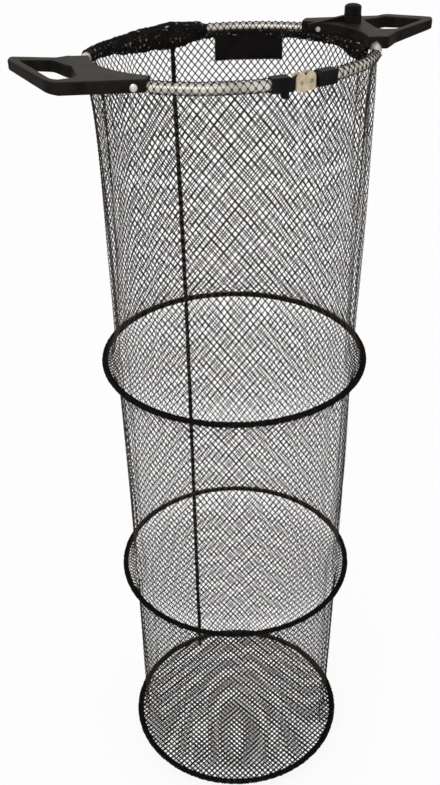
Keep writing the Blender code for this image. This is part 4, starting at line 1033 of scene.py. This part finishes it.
def between(stops, share):
    """Smooth values along a row of (share, value, value, ...) stops."""
    for first, second in zip(stops, stops[1:]):
        if share <= second[0]:
            part = (share - first[0]) / (second[0] - first[0])
            part = part * part * (3 - 2 * part)
            return [a + (b - a) * part for a, b in zip(first[1:], second[1:])]
    return list(stops[-1][1:])


def border(name, start, end, turns, stops_mm, strand, seed=0.0):
    """Mesh bunched round the ring. A stop is its share of the way, then the band's half width, top, foot
    and shift inwards, in millimetres."""
    stops = [(share, *(size * MM for size in sizes)) for share, *sizes in stops_mm]
    columns = round(ring_span(start, end) / BORDER_CELL)

    def place(u, v):
        angle = start + (end - start) * u
        wide, top, foot, inward = between(stops, u)
        around = 2 * math.pi * v
        cos, sin = math.cos(around), math.sin(around)
        along, across = LUMP_RATES
        lump = LUMPS * noise.noise(Vector((angle * along + seed, cos * across, sin * across)))
        ragged = RAGGED * noise.noise(Vector((angle * RAGGED_RATE, seed, RAGGED_PLACE))) * max(0.0, -sin)
        outward = (wide + lump) * cos - inward
        height = (top + foot) / 2 + ((top - foot) / 2 + lump) * sin + ragged
        return ring_point(angle) + ring_outward(angle) * outward + UP * height

    sizes = {"Strand width": strand, "Knot size": strand * BORDER_KNOT_SHARE}
    piece = grown(name, lattice(columns, turns, place, False), NETTING, sizes, border_yarn)
    return piece


print("gathered mesh has a cell every", round(BORDER_CELL / MM, 1), "mm")


# %% [markdown]
# The band is thickest over the rear hinge and thins out to the left, where it runs to the handle. One
# rigid band would tear or cut through the ring when a half is folded. So each half carries its own
# length, and over the hinge lie two short covers, reaching to either half.

# %% Left border and hinge covers
HINGE_COVER = 16 * MM          # how far each cover reaches from the hinge's middle
LEFT_BORDER_END = 159 * MM     # and how far from there the band ends on either side
SOCKET_BORDER_END = 52 * MM

left_stop, right_stop = walk(REAR_HINGE, HINGE_COVER), walk(REAR_HINGE, -HINGE_COVER)
left_border = border("left_border", left_stop, walk(REAR_HINGE, LEFT_BORDER_END), 26, (
    (0.00, 10.6, 10.4, -18, 0), (0.22, 10.0, 9.6, -17, 0), (0.38, 8.4, 7.2, -15, 0),
    (0.58, 7.6, 6.8, -9.5, 0), (0.90, 7.2, 6.8, -7, 0), (1.00, 7.2, 6.8, -4.5, 0)), 2.0 * MM)
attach(left_border, "left_half")
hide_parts("left_hem")
for side, stop, foot in (("right", right_stop, -17), ("left", left_stop, -18)):
    cover = border(f"{side}_hinge_border", REAR_HINGE, stop, 30, (
        (0.00, 11.5, 12.2, -19, 0), (1.00, 11.0, 11.0, foot, 0)), 2.5 * MM, seed=2.0)
    ring_point(stop)
    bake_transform(cover)
right_cover = border("right_socket_border", walk(REAR_HINGE, -SOCKET_BORDER_END), right_stop, 26, (
    (0.00, 7.2, 5.0, -8, 0), (0.30, 10.2, 9.4, -13, 0), (1.00, 10.6, 10.6, -17, 0)), 2.2 * MM, seed=4.0)
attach(right_cover, "right_half")


# %% [markdown]
# On the right the band has slipped off the tube and hangs inside it, in front of the label's top edge.
# It could be one with the band on the left, but it is much thinner and lies lower. So it is a piece of
# its own, set inwards of the ring.

# %% Right border
RIGHT_BORDER_START = 14 * MM   # beyond the ring's right end

right_border = border("right_border", walk(0, -RIGHT_BORDER_START), walk(REAR_HINGE, -SOCKET_END), 14, (
    (0.00, 2.4, -3.4, -15, 9.4), (0.07, 3.6, -3.4, -24, 11.0), (0.18, 3.8, -3.2, -22, 13.0),
    (0.27, 2.2, -3.2, -13, 12.5), (0.60, 1.8, -3.0, -11, 9.6), (1.00, 1.6, -3.0, -10, 8.2)), 1.5 * MM,
    seed=6.0)
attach(right_border, "right_half")
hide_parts("right_hem")


# %% [markdown]
# A thin black cord laces the sleeve's two edges together along the tube, with a knot at every mesh. A
# true lacing would wind round each strand it takes up, but only its run and its knots can be seen. So it
# is a zigzag path with a knot at each turn, one run below the tube and one above it.

# %% Lacing
LACING_RADIUS = 7.7 * MM
LACING_STEP = 4.5 * MM
LACING_SWING = 0.10            # the angle that the zigzag swings to either side
LACING_RUNS = {"under": math.radians(-98), "over": math.radians(118)}
LACING_SIZES = {"Strand width": 1.0 * MM, "Knot size": 2.1 * MM}


def lacing(name, start, end, around, half):
    """One run of lacing between two angles of the ring, at an angle round its tube."""
    count = round(ring_span(start, end) / LACING_STEP)
    points = [beside_ring(start + (end - start) * i / count, around + LACING_SWING * (-1) ** i,
                          LACING_RADIUS) for i in range(count + 1)]
    cord = grown(name, path_mesh(points), NETTING, LACING_SIZES, black_cord)
    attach(cord, half)


for name, start, end in sleeves:
    for half, node, turned in (("right_half", name, 0.0), ("left_half", opposite[name], math.pi)):
        for run, around in LACING_RUNS.items():
            lacing(f"{node}_lacing_{run}", start + turned, end + turned, around, half)


# %% [markdown]
# The label is one plain patch of cloth, sewn by its top edge behind the hem and left to hang. Such a
# small stiff patch barely drapes, so a simulation would add nothing: it follows the ring's curve and
# bows a little. A flat grid carries it, and a modifier gives it the cloth's thickness.

# %% Label
LABEL_FLAT = (98 * MM, 37 * MM)
LABEL_TOP = -2.5 * MM
LABEL_STEPS = (56, 22)
LABEL_INWARD = 8.6 * MM
LABEL_MIDDLE = walk(REAR_HINGE, -112 * MM)
LABEL_BOW = 1.6 * MM
LABEL_WAVE, LABEL_WAVE_RATE = 0.7 * MM, 5
LABEL_CLOTH = 0.8 * MM


def label_point(u, v):
    """u runs along the label from -1 to 1 and v down it from 0 to 1."""
    angle = walk(LABEL_MIDDLE, -u * LABEL_FLAT[0] / 2)
    bow = LABEL_BOW * math.sin(math.pi * v) + LABEL_WAVE * math.sin(LABEL_WAVE_RATE * u + 1) * v
    down = UP * (LABEL_TOP - v * LABEL_FLAT[1])
    return ring_point(angle) - ring_outward(angle) * (LABEL_INWARD + bow) + down


sheet_shape = bmesh.new()
columns, rows = LABEL_STEPS
grid = [[sheet_shape.verts.new(label_point(2 * i / columns - 1, j / rows)) for i in range(columns + 1)]
        for j in range(rows + 1)]
for upper, lower in zip(grid, grid[1:]):
    for i in range(columns):
        sheet_shape.faces.new((upper[i], upper[i + 1], lower[i + 1], lower[i]))
bmesh.ops.recalc_face_normals(sheet_shape, faces=sheet_shape.faces)
label_mesh = bpy.data.meshes.new("label")
sheet_shape.to_mesh(label_mesh)
sheet_shape.free()
label_mesh.shade_smooth()
label_mesh.materials.append(label_cloth)
label = object_of("label_sheet", label_mesh)
cloth = label.modifiers.new("cloth thickness", "SOLIDIFY")
cloth.thickness = LABEL_CLOTH
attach(label, "right_half")
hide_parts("label")
print("label, mm:", [round(side / MM) for side in LABEL_FLAT])


# %% [markdown]
# Thread is overlocked round the label's three free edges. It could be a bump along them, but it stands
# proud of thin cloth, so the whipping tree winds it, with its smallest loops.

# %% The label's edge
EDGE_ALONG, EDGE_DOWN = 60, 24      # steps along the lower edge, and down either side
OVERLOCK_SIZES = {"Radius": 0.8 * MM, "Cord width": 0.6 * MM, "Spacing": 0.9 * MM, "Unevenness": 0.08,
                  "Seed": 21}

edge = [label_point(-1, j / EDGE_DOWN) for j in range(EDGE_DOWN + 1)]
edge += [label_point(-1 + 2 * i / EDGE_ALONG, 1) for i in range(1, EDGE_ALONG + 1)]
edge += [label_point(1, 1 - j / EDGE_DOWN) for j in range(1, EDGE_DOWN + 1)]
overlock = grown("label_overlock", path_mesh(edge), WHIPPING, OVERLOCK_SIZES, label_thread)
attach(overlock, "right_half")


# %% [markdown]
# The handles, sockets, hinge links, pins and rivets are moulded or machined, with clean shapes that the
# engineering model already has. Modelling them again could only make them drift from their joints, so
# they stay, and get their real finish.

# %% Finishes for the fittings
def coat(material, *nodes):
    """Gives a material to nodes of the engineering model."""
    for name in nodes:
        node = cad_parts[name]
        node.data.materials.clear()
        node.data.materials.append(material)


coat(handle_plastic, "right_handle", "left_handle")
coat(socket_plastic, "front_right_socket", "front_left_socket", "rear_right_socket", "rear_left_socket",
     "bank_stick_knob")
coat(link_plastic, "front_outer_link", "front_inner_link", "rear_outer_link", "rear_inner_link")
coat(rivet_steel, "right_arm_rivet", "left_arm_rivet", "right_end_screw", "left_end_screw")
coat(pin_steel, "front_right_hinge_pin", "front_left_hinge_pin", "rear_right_hinge_pin",
     "rear_left_hinge_pin")
coat(ferrule_in_painted_shade, "upper_hoop_ferrule", "middle_hoop_ferrule", "base_hoop_ferrule")
coat(insert_brass, "bank_stick_insert")
coat(rod_plastic, "upper_hoop_rod", "middle_hoop_rod", "base_hoop_rod")
print("knob finish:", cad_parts["bank_stick_knob"].data.materials[0].name)
